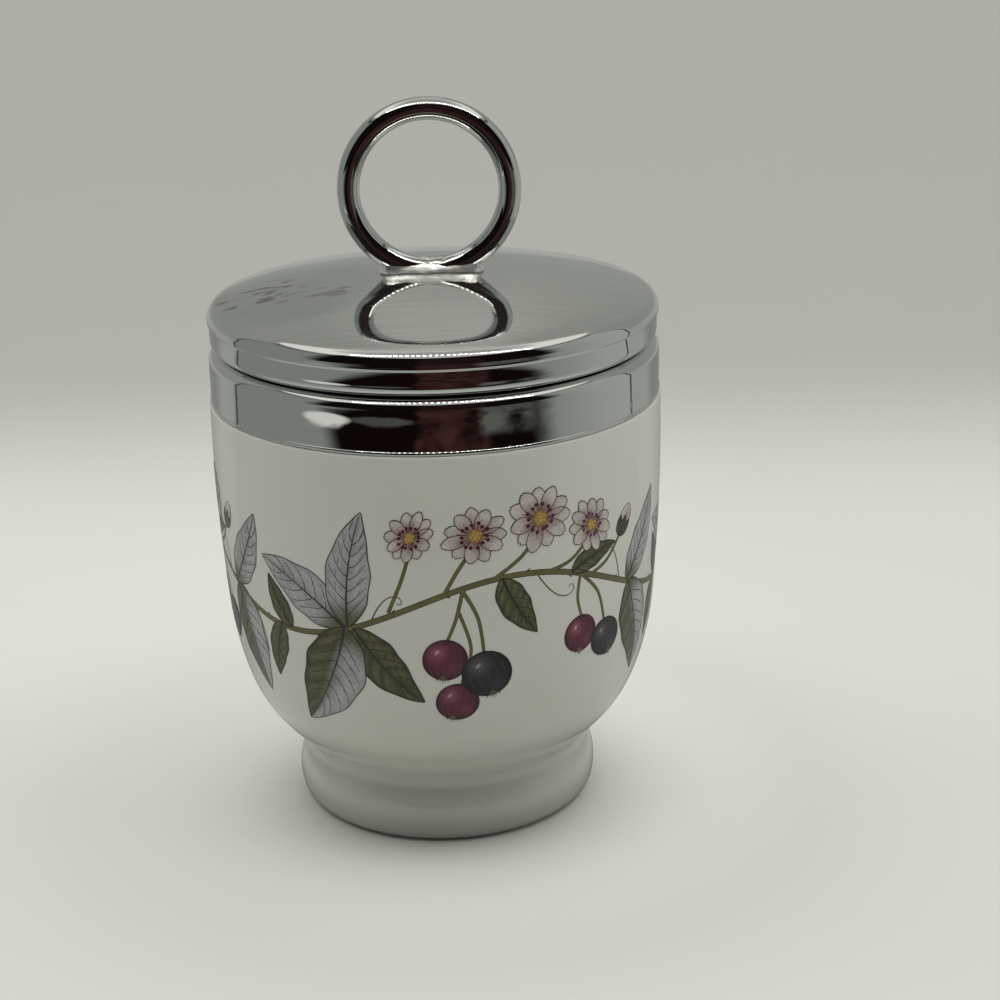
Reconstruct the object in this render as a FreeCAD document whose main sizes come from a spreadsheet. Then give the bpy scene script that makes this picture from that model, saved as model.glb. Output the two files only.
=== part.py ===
import FreeCAD
import Part
import Sketcher
import math
import os
from types import SimpleNamespace

# Egg coddler: a hollow porcelain cup on a cast foot, with a metal collar cemented round its rim
# and a pressed metal lid that screws onto the collar. A ring of bent wire on the lid lifts it.
# Lengths are in millimetres. The origin is the middle of the foot on the table, +Z is up,
# and the lifting ring lies in the XZ plane.

DIMENSIONS = {
    # porcelain cup, outside, from the foot up
    "foot_radius": 21.8,          # where the foot is widest
    "foot_swell": 8.4,            # bulge of the foot's side
    "swell_height": 4.0,
    "toe_radius": 2.4,            # rounding from the bulge to what the foot stands on
    "cove_radius": 2.8,           # hollow waist between the foot and the bowl
    "hip_radius": 19.0,           # turn of the bowl's underside
    "hip_height": 20.0,           # where the hip runs into the belly
    "belly_radius": 42.0,
    "belly_height": 30.0,         # where the belly runs into the side
    "side_radius": 270.0,         # the side is almost straight
    "widest_height": 56.0,
    "cup_radius": 31.75,
    "ledge_height": 60.9,         # top of the bare porcelain, where the collar starts
    "ledge_round": 0.5,
    # porcelain cup, inside and underneath
    "wall": 3.2,
    "rim_wall": 2.5,              # porcelain round the mouth, inside the collar's neck
    "rim_round": 0.6,
    "throat_rise": 1.1,           # the bore widens below this height over the ledge
    "throat_radius": 3.8,
    "foot_ring_width": 1.2,       # flat, unglazed ring that the cup stands on
    "recess_round": 0.8,
    "recess_depth": 3.8,
    # metal collar and the cement under it
    "sheet": 0.6,                 # thickness of the pressed metal
    "cement": 0.5,
    "collar_inset": 0.25,         # the collar's band stands this far inside the cup's side
    "lip_height": 0.5,            # rolled lip at the collar's lower edge
    "lip_radius": 0.32,
    "band_height": 7.4,
    "shoulder_round": 0.9,        # bends are given by the radius inside the sheet
    "neck_cove": 0.4,
    "neck_height": 5.83,          # from the shoulder to the top of the flange
    "rim_bend": 0.3,
    "flange_width": 2.1,          # the flange lies on the porcelain rim
    # lid
    "lid_inset": 0.05,            # the lid's edge is almost flush with the collar's band
    "dome_radius": 135.0,
    "seat_gap": 0.03,             # lid to the top of the neck, where it rests
    "edge_radius": 1.25,
    "step_drop": 2.13,            # small step in the skirt, below the top of the neck
    "step_depth": 0.25,
    "lid_gap": 0.15,              # hem to the collar's shoulder
    "hem_radius": 0.85,           # the skirt's lower edge is rolled under
    "hem_width": 0.1,             # flat end of the hem, inside the roll
    # threaded ring inside the lid
    "thread_gap": 0.45,           # room for the threads between neck and ring
    "ring_wall": 0.85,
    "ring_clearance": 0.1,        # thread ring to the lid's skirt and hem
    "ring_round": 0.3,            # lower outer corner, which sits in the hem
    "ring_drop": 1.7,             # top of the thread ring, below the top of the neck
    "lead_in": 0.1,
    # lifting ring and its saddle
    "loop_radius": 11.1,          # to the middle of the wire
    "wire_radius": 1.6,
    "foot_rise": 0.3,             # middle of the wire over the lid's top, at the loop's foot
    "seam_width": 0.25,           # gap between the two ends of the bent wire
    "seam_offset": 1.7,
    "saddle_length": 14.6,
    "saddle_wall": 0.6,           # saddle on each side of the wire
    "saddle_height": 1.4,
    "saddle_round": 1.1,
    "solder_gap": 0.05,
}


class Size:
    """A length held as a number and as the expression on the sheet that gives it."""

    def __init__(self, value, text):
        self.value = value
        self.text = text

    def __add__(self, other):
        other = as_size(other)
        return Size(self.value + other.value, f"({self.text} + {other.text})")

    def __sub__(self, other):
        other = as_size(other)
        return Size(self.value - other.value, f"({self.text} - {other.text})")

    def __mul__(self, other):
        other = as_size(other)
        return Size(self.value * other.value, f"({self.text} * {other.text})")

    def __truediv__(self, other):
        other = as_size(other)
        return Size(self.value / other.value, f"({self.text} / {other.text})")


def as_size(item):
    return item if isinstance(item, Size) else Size(float(item), repr(float(item)))


def root(size):
    return Size(math.sqrt(size.value), f"sqrt({size.text})")


def make_sheet(doc):
    """Write the driving dimensions to a sheet and return them as sizes bound to its cells."""
    sheet = doc.addObject("Spreadsheet::Sheet", "Dims")
    for row, (name, value) in enumerate(DIMENSIONS.items(), start=1):
        sheet.set(f"A{row}", name)
        sheet.set(f"B{row}", str(value))
        sheet.setAlias(f"B{row}", name)
    doc.recompute()
    return SimpleNamespace(**{name: Size(value, f"Dims.{name}")
                              for name, value in DIMENSIONS.items()})


def fit_pieces(d):
    """Add the sizes that follow from how the pieces fit into and onto one another."""
    # from the cup's side inwards: collar, lid, thread ring, neck, cement, porcelain rim
    d.collar_radius = d.cup_radius - d.collar_inset
    d.band_inside = d.collar_radius - d.sheet
    d.band_seat = d.band_inside - d.cement
    d.lid_radius = d.collar_radius - d.lid_inset
    d.skirt_radius = d.lid_radius - d.step_depth
    d.skirt_inside = d.skirt_radius - d.sheet
    d.ring_outside = d.skirt_inside - d.ring_clearance
    d.ring_inside = d.ring_outside - d.ring_wall
    d.neck_radius = d.ring_inside - d.thread_gap
    d.neck_inside = d.neck_radius - d.sheet
    d.neck_seat = d.neck_inside - d.cement
    d.mouth_radius = d.neck_seat - d.rim_wall
    # where the rounding under the foot's bulge reaches the table
    lean = d.swell_height - d.toe_radius
    span = d.foot_swell - d.toe_radius
    d.swell_x = d.foot_radius - d.foot_swell
    d.toe_x = d.swell_x + root(span * span - lean * lean)
    # from the ledge upwards: shoulder, rim, hem, thread ring, step, dome
    d.shoulder_height = d.ledge_height + d.band_height
    d.shoulder_under = d.shoulder_height - d.sheet
    d.seat_step = d.shoulder_under - d.cement
    d.rim_height = d.shoulder_height + d.neck_height
    d.rim_under = d.rim_height - d.sheet
    d.lid_bottom = d.shoulder_height + d.lid_gap
    # the bend at the top of the neck, and the dome that rests on it
    d.bend_outside = d.rim_bend + d.sheet
    d.bend_x = d.neck_radius - d.bend_outside
    d.bend_y = d.rim_height - d.bend_outside
    reach = d.dome_radius - d.sheet - d.seat_gap - d.bend_outside
    d.dome_centre = d.bend_y - root(reach * reach - d.bend_x * d.bend_x)
    d.lid_top = d.dome_centre + d.dome_radius
    d.loop_rise = d.loop_radius + d.foot_rise


def origin_plane(body, role):
    return next(item for item in body.Origin.OriginFeatures if item.Role == role)


def new_body(doc, label):
    body = doc.addObject("PartDesign::Body", label)
    body.Label = label
    return body


def new_sketch(body, name, role):
    sketch = body.newObject("Sketcher::SketchObject", name)
    sketch.AttachmentSupport = (origin_plane(body, role), [""])
    sketch.MapMode = "FlatFace"
    return sketch


class Edge:
    """One edge of an outline: straight, or an arc that turns left (1) or right (-1).

    A smooth end runs on into the next edge. Where an arc's ends and centre say all,
    its radius isn't held as well."""

    def __init__(self, radius=None, turn=1, smooth_start=False, smooth_end=False,
                 centre_x=None, centre_y=None, hold_radius=True):
        self.radius = radius
        self.turn = turn
        self.hold_radius = hold_radius
        self.smooth_start = smooth_start
        self.smooth_end = smooth_end
        self.centre_x = centre_x
        self.centre_y = centre_y


def hold(sketch, kind, first, second, size):
    """Hold a distance along X or Y between two (geometry, point) pairs at a size."""
    index = sketch.addConstraint(Sketcher.Constraint(kind, *first, *second, size.value))
    sketch.setExpression(f"Constraints[{index}]", size.text)


def hold_radius(sketch, geometry, size):
    index = sketch.addConstraint(Sketcher.Constraint("Radius", geometry, size.value))
    sketch.setExpression(f"Constraints[{index}]", size.text)


def place(sketch, point, x, y):
    """Hold a sketch point at the coordinates that are sizes; plain numbers stay free."""
    x_axis, y_axis = -1, -2
    origin = (x_axis, 1)
    for kind, axis, item in (("DistanceX", y_axis, x), ("DistanceY", x_axis, y)):
        if not isinstance(item, Size):
            continue
        if item.value == 0.0:
            sketch.addConstraint(Sketcher.Constraint("PointOnObject", *point, axis))
        elif item.value > 0.0:
            hold(sketch, kind, origin, point, item)
        else:
            hold(sketch, kind, point, origin, Size(0.0, "0.0") - item)


def arc_between(start, end, radius, turn):
    """Arc of a circle from start to end, the short way round, turning left or right."""
    chord = end - start
    half = chord.Length / 2.0
    reach = math.sqrt(max(radius * radius - half * half, 0.0))
    left = FreeCAD.Vector(-chord.y, chord.x, 0) / chord.Length
    centre = (start + end) / 2.0 + left * reach * turn
    first, last = (start, end) if turn > 0 else (end, start)
    circle = Part.Circle(centre, FreeCAD.Vector(0, 0, 1), radius)
    return Part.ArcOfCircle(circle, circle.parameter(first), circle.parameter(last))


def draw_outline(sketch, corners, edges):
    """Draw a closed outline. Edge i runs from corner i to the next corner."""
    number = [[item.value if isinstance(item, Size) else float(item) for item in corner]
              for corner in corners]
    points = [FreeCAD.Vector(x, y, 0) for x, y in number]
    ends = []
    for index, edge in enumerate(edges):
        start, end = points[index], points[(index + 1) % len(points)]
        if edge.radius is None:
            geometry = sketch.addGeometry(Part.LineSegment(start, end), False)
            ends.append(((geometry, 1), (geometry, 2)))
            continue
        arc = arc_between(start, end, edge.radius.value, edge.turn)
        geometry = sketch.addGeometry(arc, False)
        ends.append(((geometry, 1), (geometry, 2)) if edge.turn > 0
                    else ((geometry, 2), (geometry, 1)))
    for index, edge in enumerate(edges):
        before = edges[index - 1]
        smooth = edge.smooth_start or before.smooth_end
        joint = "Tangent" if smooth else "Coincident"
        sketch.addConstraint(Sketcher.Constraint(joint, *ends[index - 1][1], *ends[index][0]))
        place(sketch, ends[index][0], *corners[index])
        if edge.radius is None:
            continue
        geometry = ends[index][0][0]
        place(sketch, (geometry, 3), edge.centre_x, edge.centre_y)
        if edge.hold_radius:
            hold_radius(sketch, geometry, edge.radius)


def line(**options):
    return Edge(**options)


def left(radius, **options):
    return Edge(radius, 1, **options)


def right(radius, **options):
    return Edge(radius, -1, **options)


def turned(body, name, corners, edges, cut=False, plane="XZ_Plane", axis="V_Axis"):
    """Turn a closed outline once round an axis, to add a solid or to cut it away."""
    sketch = new_sketch(body, f"{name}_outline", plane)
    draw_outline(sketch, corners, edges)
    kind = "PartDesign::Groove" if cut else "PartDesign::Revolution"
    feature = body.newObject(kind, name)
    feature.Profile = (sketch, [""])
    feature.ReferenceAxis = (sketch, [axis])
    feature.Angle = 360.0
    return feature


def bowl_points(d, inset):
    """Free corners of the bowl's wall, from the hip up, set in from its outside.

    The side, belly and hip are arcs that run smoothly into one another. The result holds
    the two heights where they meet as sizes, and starting numbers for the rest."""
    lean_at_belly = (d.widest_height - d.belly_height) / d.side_radius
    lean_at_hip = lean_at_belly + (d.belly_height - d.hip_height) / d.belly_radius
    side = d.side_radius.value - inset.value
    belly = d.belly_radius.value - inset.value
    hip = d.hip_radius.value - inset.value
    cos_belly = math.sqrt(1.0 - lean_at_belly.value ** 2)
    cos_hip = math.sqrt(1.0 - lean_at_hip.value ** 2)
    belly_x = d.cup_radius.value - d.side_radius.value + side * cos_belly
    hip_x = belly_x - belly * (cos_belly - cos_hip)
    belly_y = d.belly_height + inset * lean_at_belly
    hip_y = d.hip_height + inset * lean_at_hip
    hip_centre_x = hip_x - hip * cos_hip
    hip_centre_y = hip_y.value + hip * lean_at_hip.value
    return SimpleNamespace(belly_x=belly_x, belly_y=belly_y, hip_x=hip_x, hip_y=hip_y,
                           hip_centre_x=hip_centre_x, hip_centre_y=hip_centre_y)


def toward(first, second, reach):
    """Point at a distance from the first point, on the line to the second or beyond it."""
    across, up = second[0] - first[0], second[1] - first[1]
    share = reach / math.hypot(across, up)
    return first[0] + across * share, first[1] + up * share


def outer_meeting(first, first_reach, second, second_reach):
    """Where two circles meet, on the right of the line from the first centre to the second."""
    across, up = second[0] - first[0], second[1] - first[1]
    gap = math.hypot(across, up)
    along = (first_reach ** 2 - second_reach ** 2 + gap ** 2) / (2.0 * gap)
    aside = math.sqrt(first_reach ** 2 - along ** 2)
    return (first[0] + (across * along + up * aside) / gap,
            first[1] + (up * along - across * aside) / gap)


def porcelain_cup(doc, d, zero):
    """Cup and foot in one casting, with the stepped seat for the collar round its rim."""
    body = new_body(doc, "porcelain_cup")
    bowl = bowl_points(d, zero)
    swell, cove, hip = d.foot_swell.value, d.cove_radius.value, d.hip_radius.value
    toe_middle = (d.toe_x.value, d.toe_radius.value)
    swell_middle = (d.swell_x.value, d.swell_height.value)
    hip_middle = (bowl.hip_centre_x, bowl.hip_centre_y)
    cove_middle = outer_meeting(swell_middle, swell + cove, hip_middle, hip + cove)
    side_x = d.cup_radius.value
    corners = [
        (zero, zero),
        (d.toe_x.value, zero),
        toward(swell_middle, toe_middle, swell),
        toward(swell_middle, cove_middle, swell),
        toward(hip_middle, cove_middle, hip),
        (bowl.hip_x, d.hip_height),
        (bowl.belly_x, d.belly_height),
        (side_x, d.ledge_height.value - d.ledge_round.value),
        (side_x - d.ledge_round.value, d.ledge_height),
        (d.band_seat, d.ledge_height),
        (d.band_seat, d.seat_step),
        (d.neck_seat, d.seat_step),
        (d.neck_seat, d.rim_under - d.rim_round),
        (d.neck_seat - d.rim_round, d.rim_under),
        (zero, d.rim_under),
    ]
    edges = [
        line(),
        left(d.toe_radius, smooth_start=True, smooth_end=True),
        left(d.foot_swell, smooth_end=True, centre_x=d.swell_x, centre_y=d.swell_height),
        right(d.cove_radius, smooth_end=True),
        left(d.hip_radius, smooth_end=True),
        left(d.belly_radius, smooth_end=True),
        left(d.side_radius, smooth_end=True,
             centre_x=d.cup_radius - d.side_radius, centre_y=d.widest_height),
        left(d.ledge_round, smooth_end=True),
        line(),
        line(),
        line(),
        line(),
        left(d.rim_round),
        line(),
        line(),
    ]
    turned(body, "cup_blank", corners, edges)
    cup_cavity(body, d, zero)
    foot_recess(body, d, zero)
    return body


def cup_cavity(body, d, zero):
    """Hollow of the cup: the wall's thickness inside the bowl, and a narrower mouth."""
    bowl = bowl_points(d, d.wall)
    inner_hip = d.hip_radius - d.wall
    floor_y = bowl.hip_centre_y - inner_hip.value
    above = d.rim_under + d.rim_round
    widest = d.cup_radius.value - d.wall.value
    spread = widest - d.mouth_radius.value
    fall = math.sqrt(4.0 * spread * d.throat_radius.value - spread ** 2)
    throat = d.ledge_height + d.throat_rise
    corners = [
        (zero, floor_y),
        (bowl.hip_centre_x, floor_y),
        (bowl.hip_x, bowl.hip_y),
        (bowl.belly_x, bowl.belly_y),
        (widest, throat.value - fall),
        (widest - spread / 2.0, throat.value - fall / 2.0),
        (d.mouth_radius, throat),
        (d.mouth_radius, d.rim_under - d.rim_round),
        (d.mouth_radius + d.rim_round, d.rim_under),
        (d.mouth_radius + d.rim_round, above),
        (zero, above),
    ]
    edges = [
        line(),
        left(inner_hip, smooth_start=True, smooth_end=True),
        left(d.belly_radius - d.wall, smooth_end=True),
        left(d.side_radius - d.wall, smooth_end=True,
             centre_x=d.cup_radius - d.side_radius, centre_y=d.widest_height),
        left(d.throat_radius, smooth_end=True),
        right(d.throat_radius, smooth_end=True),
        line(),
        right(d.rim_round),
        line(),
        line(),
        line(),
    ]
    cavity = turned(body, "cup_cavity", corners, edges, cut=True)
    sketch = cavity.Profile[0]
    sketch.addConstraint(Sketcher.Constraint("Horizontal", 0))
    return cavity


def foot_recess(body, d, zero):
    """Shallow recess under the cup, inside the ring that it stands on."""
    ring_inside = d.toe_x - d.foot_ring_width
    wall_x = ring_inside - d.recess_round
    below = zero - d.recess_round
    corners = [
        (zero, below),
        (ring_inside, below),
        (ring_inside, zero),
        (wall_x, d.recess_round),
        (wall_x, d.recess_depth - d.recess_round),
        (wall_x - d.recess_round, d.recess_depth),
        (zero, d.recess_depth),
    ]
    edges = [
        line(),
        line(),
        right(d.recess_round),
        line(),
        left(d.recess_round),
        line(),
        line(),
    ]
    return turned(body, "foot_recess", corners, edges, cut=True)


def rim_collar(doc, d):
    """Pressed collar: rolled lip, band, rounded shoulder, neck, and a flange over the rim."""
    body = new_body(doc, "rim_collar")
    shoulder_outside = d.shoulder_round + d.sheet
    shoulder_x = d.collar_radius - shoulder_outside
    shoulder_foot = d.shoulder_height - shoulder_outside
    cove_x = d.neck_radius + d.neck_cove
    cove_y = d.shoulder_height + d.neck_cove
    flange_edge = d.neck_radius - d.flange_width
    corners = [
        (d.band_inside, d.ledge_height),
        (d.collar_radius, d.ledge_height),
        (d.collar_radius, d.ledge_height + d.lip_height),
        (d.collar_radius, shoulder_foot),
        (shoulder_x, d.shoulder_height),
        (cove_x, d.shoulder_height),
        (d.neck_radius, cove_y),
        (d.neck_radius, d.bend_y),
        (d.bend_x, d.rim_height),
        (flange_edge, d.rim_height),
        (flange_edge, d.rim_under),
        (d.bend_x, d.rim_under),
        (d.neck_inside, d.bend_y),
        (d.neck_inside, cove_y),
        (cove_x, d.shoulder_under),
        (shoulder_x, d.shoulder_under),
        (d.band_inside, shoulder_foot),
    ]
    edges = [
        line(),
        left(d.lip_radius),
        line(),
        left(shoulder_outside),
        line(),
        right(d.neck_cove),
        line(),
        left(d.bend_outside),
        line(),
        line(),
        line(),
        right(d.rim_bend),
        line(),
        left(d.neck_cove + d.sheet),
        line(),
        right(d.shoulder_round),
        line(),
    ]
    turned(body, "collar_sheet", corners, edges)
    return body


def collar_cement(doc, d):
    """Cement that fills the space between the collar and the seat cut in the porcelain."""
    body = new_body(doc, "collar_cement")
    corners = [
        (d.band_seat, d.ledge_height),
        (d.band_inside, d.ledge_height),
        (d.band_inside, d.shoulder_under - d.shoulder_round),
        (d.band_inside - d.shoulder_round, d.shoulder_under),
        (d.neck_radius + d.neck_cove, d.shoulder_under),
        (d.neck_inside, d.shoulder_height + d.neck_cove),
        (d.neck_inside, d.bend_y),
        (d.bend_x, d.rim_under),
        (d.neck_seat - d.rim_round, d.rim_under),
        (d.neck_seat, d.rim_under - d.rim_round),
        (d.neck_seat, d.seat_step),
        (d.band_seat, d.seat_step),
    ]
    edges = [
        line(),
        line(),
        left(d.shoulder_round),
        line(),
        right(d.neck_cove + d.sheet),
        line(),
        left(d.rim_bend),
        line(),
        right(d.rim_round),
        line(),
        line(),
        line(),
    ]
    turned(body, "cement_bed", corners, edges)
    return body


def lid_thread_ring(doc, d):
    """Ring with the lid's inside thread, held in the skirt by the rolled hem below it."""
    body = new_body(doc, "lid_thread_ring")
    bottom = d.lid_bottom + d.sheet + d.hem_radius - d.ring_round
    top = d.rim_height - d.ring_drop
    corners = [
        (d.ring_inside + d.lead_in, bottom),
        (d.ring_outside - d.ring_round, bottom),
        (d.ring_outside, bottom + d.ring_round),
        (d.ring_outside, top),
        (d.ring_inside, top),
        (d.ring_inside, bottom + d.lead_in),
    ]
    edges = [line(), left(d.ring_round), line(), line(), line(), left(d.lead_in)]
    turned(body, "ring_band", corners, edges)
    return body


def dome_end(d, inset):
    """Where the dome's arc runs into the arc of the lid's edge, and where that ends."""
    dome = d.dome_radius.value - inset.value
    edge = d.edge_radius.value + d.sheet.value - inset.value
    edge_x = d.lid_radius.value - inset.value - edge
    rise = math.sqrt((dome - edge) ** 2 - edge_x ** 2)
    grow = dome / (dome - edge)
    end_y = d.dome_centre.value + rise
    return (edge_x * grow, d.dome_centre.value + rise * grow), end_y


def lid_shell(doc, d, zero):
    """Pressed lid: shallow dome, rounded edge, stepped skirt and a hem rolled under."""
    body = new_body(doc, "lid_shell")
    roll = d.hem_radius + d.sheet
    hem_x = d.skirt_radius - roll
    hem_end = hem_x - d.hem_width
    hem_y = d.lid_bottom + roll
    hem_top = d.lid_bottom + d.sheet
    edge_inside = d.lid_radius - d.sheet
    step_bottom = d.rim_height - d.step_drop
    step_top = step_bottom + d.step_depth
    outer_join, outer_end = dome_end(d, zero)
    inner_join, inner_end = dome_end(d, d.sheet)
    corners = [
        (zero, d.lid_top - d.sheet),
        inner_join,
        (edge_inside, inner_end),
        (edge_inside, step_top - d.step_depth * 2.0),
        (d.skirt_inside, step_bottom - d.step_depth * 2.0),
        (d.skirt_inside, hem_y),
        (hem_x, hem_top),
        (hem_end, hem_top),
        (hem_end, d.lid_bottom),
        (hem_x, d.lid_bottom),
        (d.skirt_radius, hem_y),
        (d.skirt_radius, step_bottom),
        (d.lid_radius, step_top),
        (d.lid_radius, outer_end),
        outer_join,
        (zero, d.lid_top),
    ]
    edges = [
        right(d.dome_radius - d.sheet, smooth_end=True, centre_x=zero),
        right(d.edge_radius, smooth_end=True),
        line(),
        line(),
        line(),
        right(d.hem_radius),
        line(),
        line(),
        line(),
        left(roll),
        line(),
        line(),
        line(),
        left(d.edge_radius + d.sheet, smooth_start=True, smooth_end=True),
        left(d.dome_radius, centre_x=zero),
        line(),
    ]
    turned(body, "lid_sheet", corners, edges)
    return body


def seat_on_dome(body, d, zero, reach):
    """Cut away what would lie below the lid's dome. The body's origin is the loop's middle."""
    apex = zero - d.loop_rise
    below = apex - d.loop_radius
    sag = d.dome_radius.value - math.sqrt(d.dome_radius.value ** 2 - reach.value ** 2)
    corners = [
        (zero, below),
        (reach, below),
        (reach, apex.value - sag),
        (zero, apex),
    ]
    edges = [line(), line(), left(d.dome_radius, centre_x=zero), line()]
    return turned(body, "dome_seat", corners, edges, cut=True)


def wire_loop(body, d, zero, radius, name, cut):
    """A round section turned about the loop's middle. The loop lies in the XZ plane."""
    sketch = new_sketch(body, f"{name}_section", "YZ_Plane")
    centre = FreeCAD.Vector(0, -d.loop_radius.value, 0)
    circle = Part.Circle(centre, FreeCAD.Vector(0, 0, 1), radius.value)
    geometry = sketch.addGeometry(circle, False)
    place(sketch, (geometry, 3), zero, zero - d.loop_radius)
    hold_radius(sketch, geometry, radius)
    feature = body.newObject("PartDesign::Groove" if cut else "PartDesign::Revolution", name)
    feature.Profile = (sketch, [""])
    feature.ReferenceAxis = (sketch, ["H_Axis"])
    feature.Angle = 360.0
    return feature


def raise_to_loop(body, d):
    """Put a body's origin at the middle of the loop."""
    height = d.lid_top + d.loop_rise
    body.Placement.Base = FreeCAD.Vector(0, 0, height.value)
    body.setExpression(".Placement.Base.z", height.text)


def lifting_ring(doc, d, zero):
    """Loop of bent wire. Its foot is ground to the lid's dome, and its ends meet there."""
    body = new_body(doc, "lifting_ring")
    wire_loop(body, d, zero, d.wire_radius, "wire", cut=False)
    seat_on_dome(body, d, zero, d.loop_radius + d.wire_radius * 2.0)
    seam = new_sketch(body, "seam_outline", "XZ_Plane")
    seam_left = d.seam_offset - d.seam_width / 2.0
    seam_right = d.seam_offset + d.seam_width / 2.0
    seam_top = zero - d.loop_radius + d.wire_radius * 2.0
    seam_bottom = zero - d.loop_radius - d.wire_radius * 2.0
    corners = [(seam_left, seam_bottom), (seam_right, seam_bottom),
               (seam_right, seam_top), (seam_left, seam_top)]
    draw_outline(seam, corners, [line(), line(), line(), line()])
    pocket = body.newObject("PartDesign::Pocket", "seam")
    pocket.Profile = (seam, [""])
    pocket.Type = "ThroughAll"
    pocket.Midplane = True
    raise_to_loop(body, d)
    return body


def ring_saddle(doc, d, zero):
    """Long pad with round ends that holds the foot of the loop on the lid."""
    body = new_body(doc, "ring_saddle")
    sketch = new_sketch(body, "saddle_plan", "XY_Plane")
    top = zero - d.loop_rise + d.saddle_height
    sketch.AttachmentOffset = FreeCAD.Placement(FreeCAD.Vector(0, 0, top.value),
                                                FreeCAD.Rotation())
    sketch.setExpression("AttachmentOffset.Base.z", top.text)
    half_width = d.wire_radius + d.solder_gap + d.saddle_wall
    end_x = d.saddle_length / 2.0 - half_width
    corners = [
        (zero - end_x, zero - half_width),
        (end_x, zero - half_width),
        (end_x, half_width),
        (zero - end_x, half_width),
    ]
    right_end = left(half_width, centre_x=end_x, hold_radius=False)
    left_end = left(half_width, centre_x=zero - end_x, hold_radius=False)
    draw_outline(sketch, corners, [line(), right_end, line(), left_end])
    pad = body.newObject("PartDesign::Pad", "saddle_pad")
    pad.Profile = (sketch, [""])
    pad.Reversed = True
    depth = d.saddle_height * 2.0
    pad.Length = depth.value
    pad.setExpression("Length", depth.text)
    doc.recompute()
    shape = pad.Shape
    top_face = max(range(len(shape.Faces)), key=lambda face: shape.Faces[face].CenterOfMass.z)
    rounding = body.newObject("PartDesign::Fillet", "saddle_rounding")
    rounding.Base = (pad, [f"Face{top_face + 1}"])
    rounding.Radius = d.saddle_round.value
    rounding.setExpression("Radius", d.saddle_round.text)
    seat_on_dome(body, d, zero, d.saddle_length)
    wire_loop(body, d, zero, d.wire_radius + d.solder_gap, "wire_groove", cut=True)
    raise_to_loop(body, d)
    return body


def check_document(doc, pieces):
    """Stop before anything is written if an object failed or a piece isn't one valid solid."""
    for item in doc.Objects:
        if "Invalid" in item.State or "Error" in item.State:
            raise RuntimeError(f"{item.Name} failed: {item.State}")
        if item.isDerivedFrom("Sketcher::SketchObject") and item.solve() != 0:
            raise RuntimeError(f"{item.Name} is not solved")
    for piece in pieces:
        shape = piece.Shape
        if shape.isNull() or not shape.isValid() or len(shape.Solids) != 1:
            raise RuntimeError(f"{piece.Label} is not one valid solid")


def main():
    doc = FreeCAD.newDocument("EggCoddler")
    d = make_sheet(doc)
    fit_pieces(d)
    zero = Size(0.0, "0.0")
    pieces = [
        porcelain_cup(doc, d, zero),
        rim_collar(doc, d),
        collar_cement(doc, d),
        lid_thread_ring(doc, d),
        lid_shell(doc, d, zero),
        ring_saddle(doc, d, zero),
        lifting_ring(doc, d, zero),
    ]
    doc.recompute()
    check_document(doc, pieces)
    os.makedirs("parts", exist_ok=True)
    for piece in pieces:
        piece.Shape.exportStep(f"parts/{piece.Label}.step")


main()
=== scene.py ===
import bisect
import math
import random

import bpy
from mathutils import Matrix, Vector


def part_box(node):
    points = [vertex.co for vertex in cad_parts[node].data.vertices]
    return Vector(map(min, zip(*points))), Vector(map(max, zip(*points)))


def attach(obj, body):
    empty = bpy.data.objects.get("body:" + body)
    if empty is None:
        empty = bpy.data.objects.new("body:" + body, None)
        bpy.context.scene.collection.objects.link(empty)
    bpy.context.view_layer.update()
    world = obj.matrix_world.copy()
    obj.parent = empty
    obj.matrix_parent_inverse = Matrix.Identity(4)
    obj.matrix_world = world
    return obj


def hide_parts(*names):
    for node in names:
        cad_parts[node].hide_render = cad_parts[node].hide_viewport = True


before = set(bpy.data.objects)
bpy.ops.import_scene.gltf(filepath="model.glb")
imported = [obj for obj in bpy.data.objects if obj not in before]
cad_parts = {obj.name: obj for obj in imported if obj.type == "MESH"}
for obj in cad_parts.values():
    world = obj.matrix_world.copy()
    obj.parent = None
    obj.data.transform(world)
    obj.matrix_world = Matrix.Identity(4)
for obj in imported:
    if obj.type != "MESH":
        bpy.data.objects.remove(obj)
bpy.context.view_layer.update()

# Porcelain egg coddler: turned porcelain cup with a printed garland, chromed collar and lid,
# and a ring of bent wire soldered to the lid. The frame's unit is the metre, and +Z is up.
MM = 0.001
TURN = 2.0 * math.pi


# ------------------------------------------------------------------ sizes taken from the frame
CUP_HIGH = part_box("porcelain_cup")[1]
COLLAR_LOW, COLLAR_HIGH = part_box("rim_collar")
LID_LOW, LID_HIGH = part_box("lid_shell")
LOOP_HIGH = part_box("lifting_ring")[1]
SADDLE_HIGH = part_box("ring_saddle")[1]
THREAD_LOW, THREAD_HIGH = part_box("lid_thread_ring")

CUP_RADIUS = CUP_HIGH.x
RIM_UNDER = CUP_HIGH.z
LEDGE = COLLAR_LOW.z
RIM_TOP = COLLAR_HIGH.z
LID_RADIUS = LID_HIGH.x
LID_BOTTOM = LID_LOW.z
LID_TOP = LID_HIGH.z
WIRE_RADIUS = LOOP_HIGH.y
LOOP_RADIUS = LOOP_HIGH.x - WIRE_RADIUS
LOOP_HEIGHT = LOOP_HIGH.z - LOOP_HIGH.x

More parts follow.
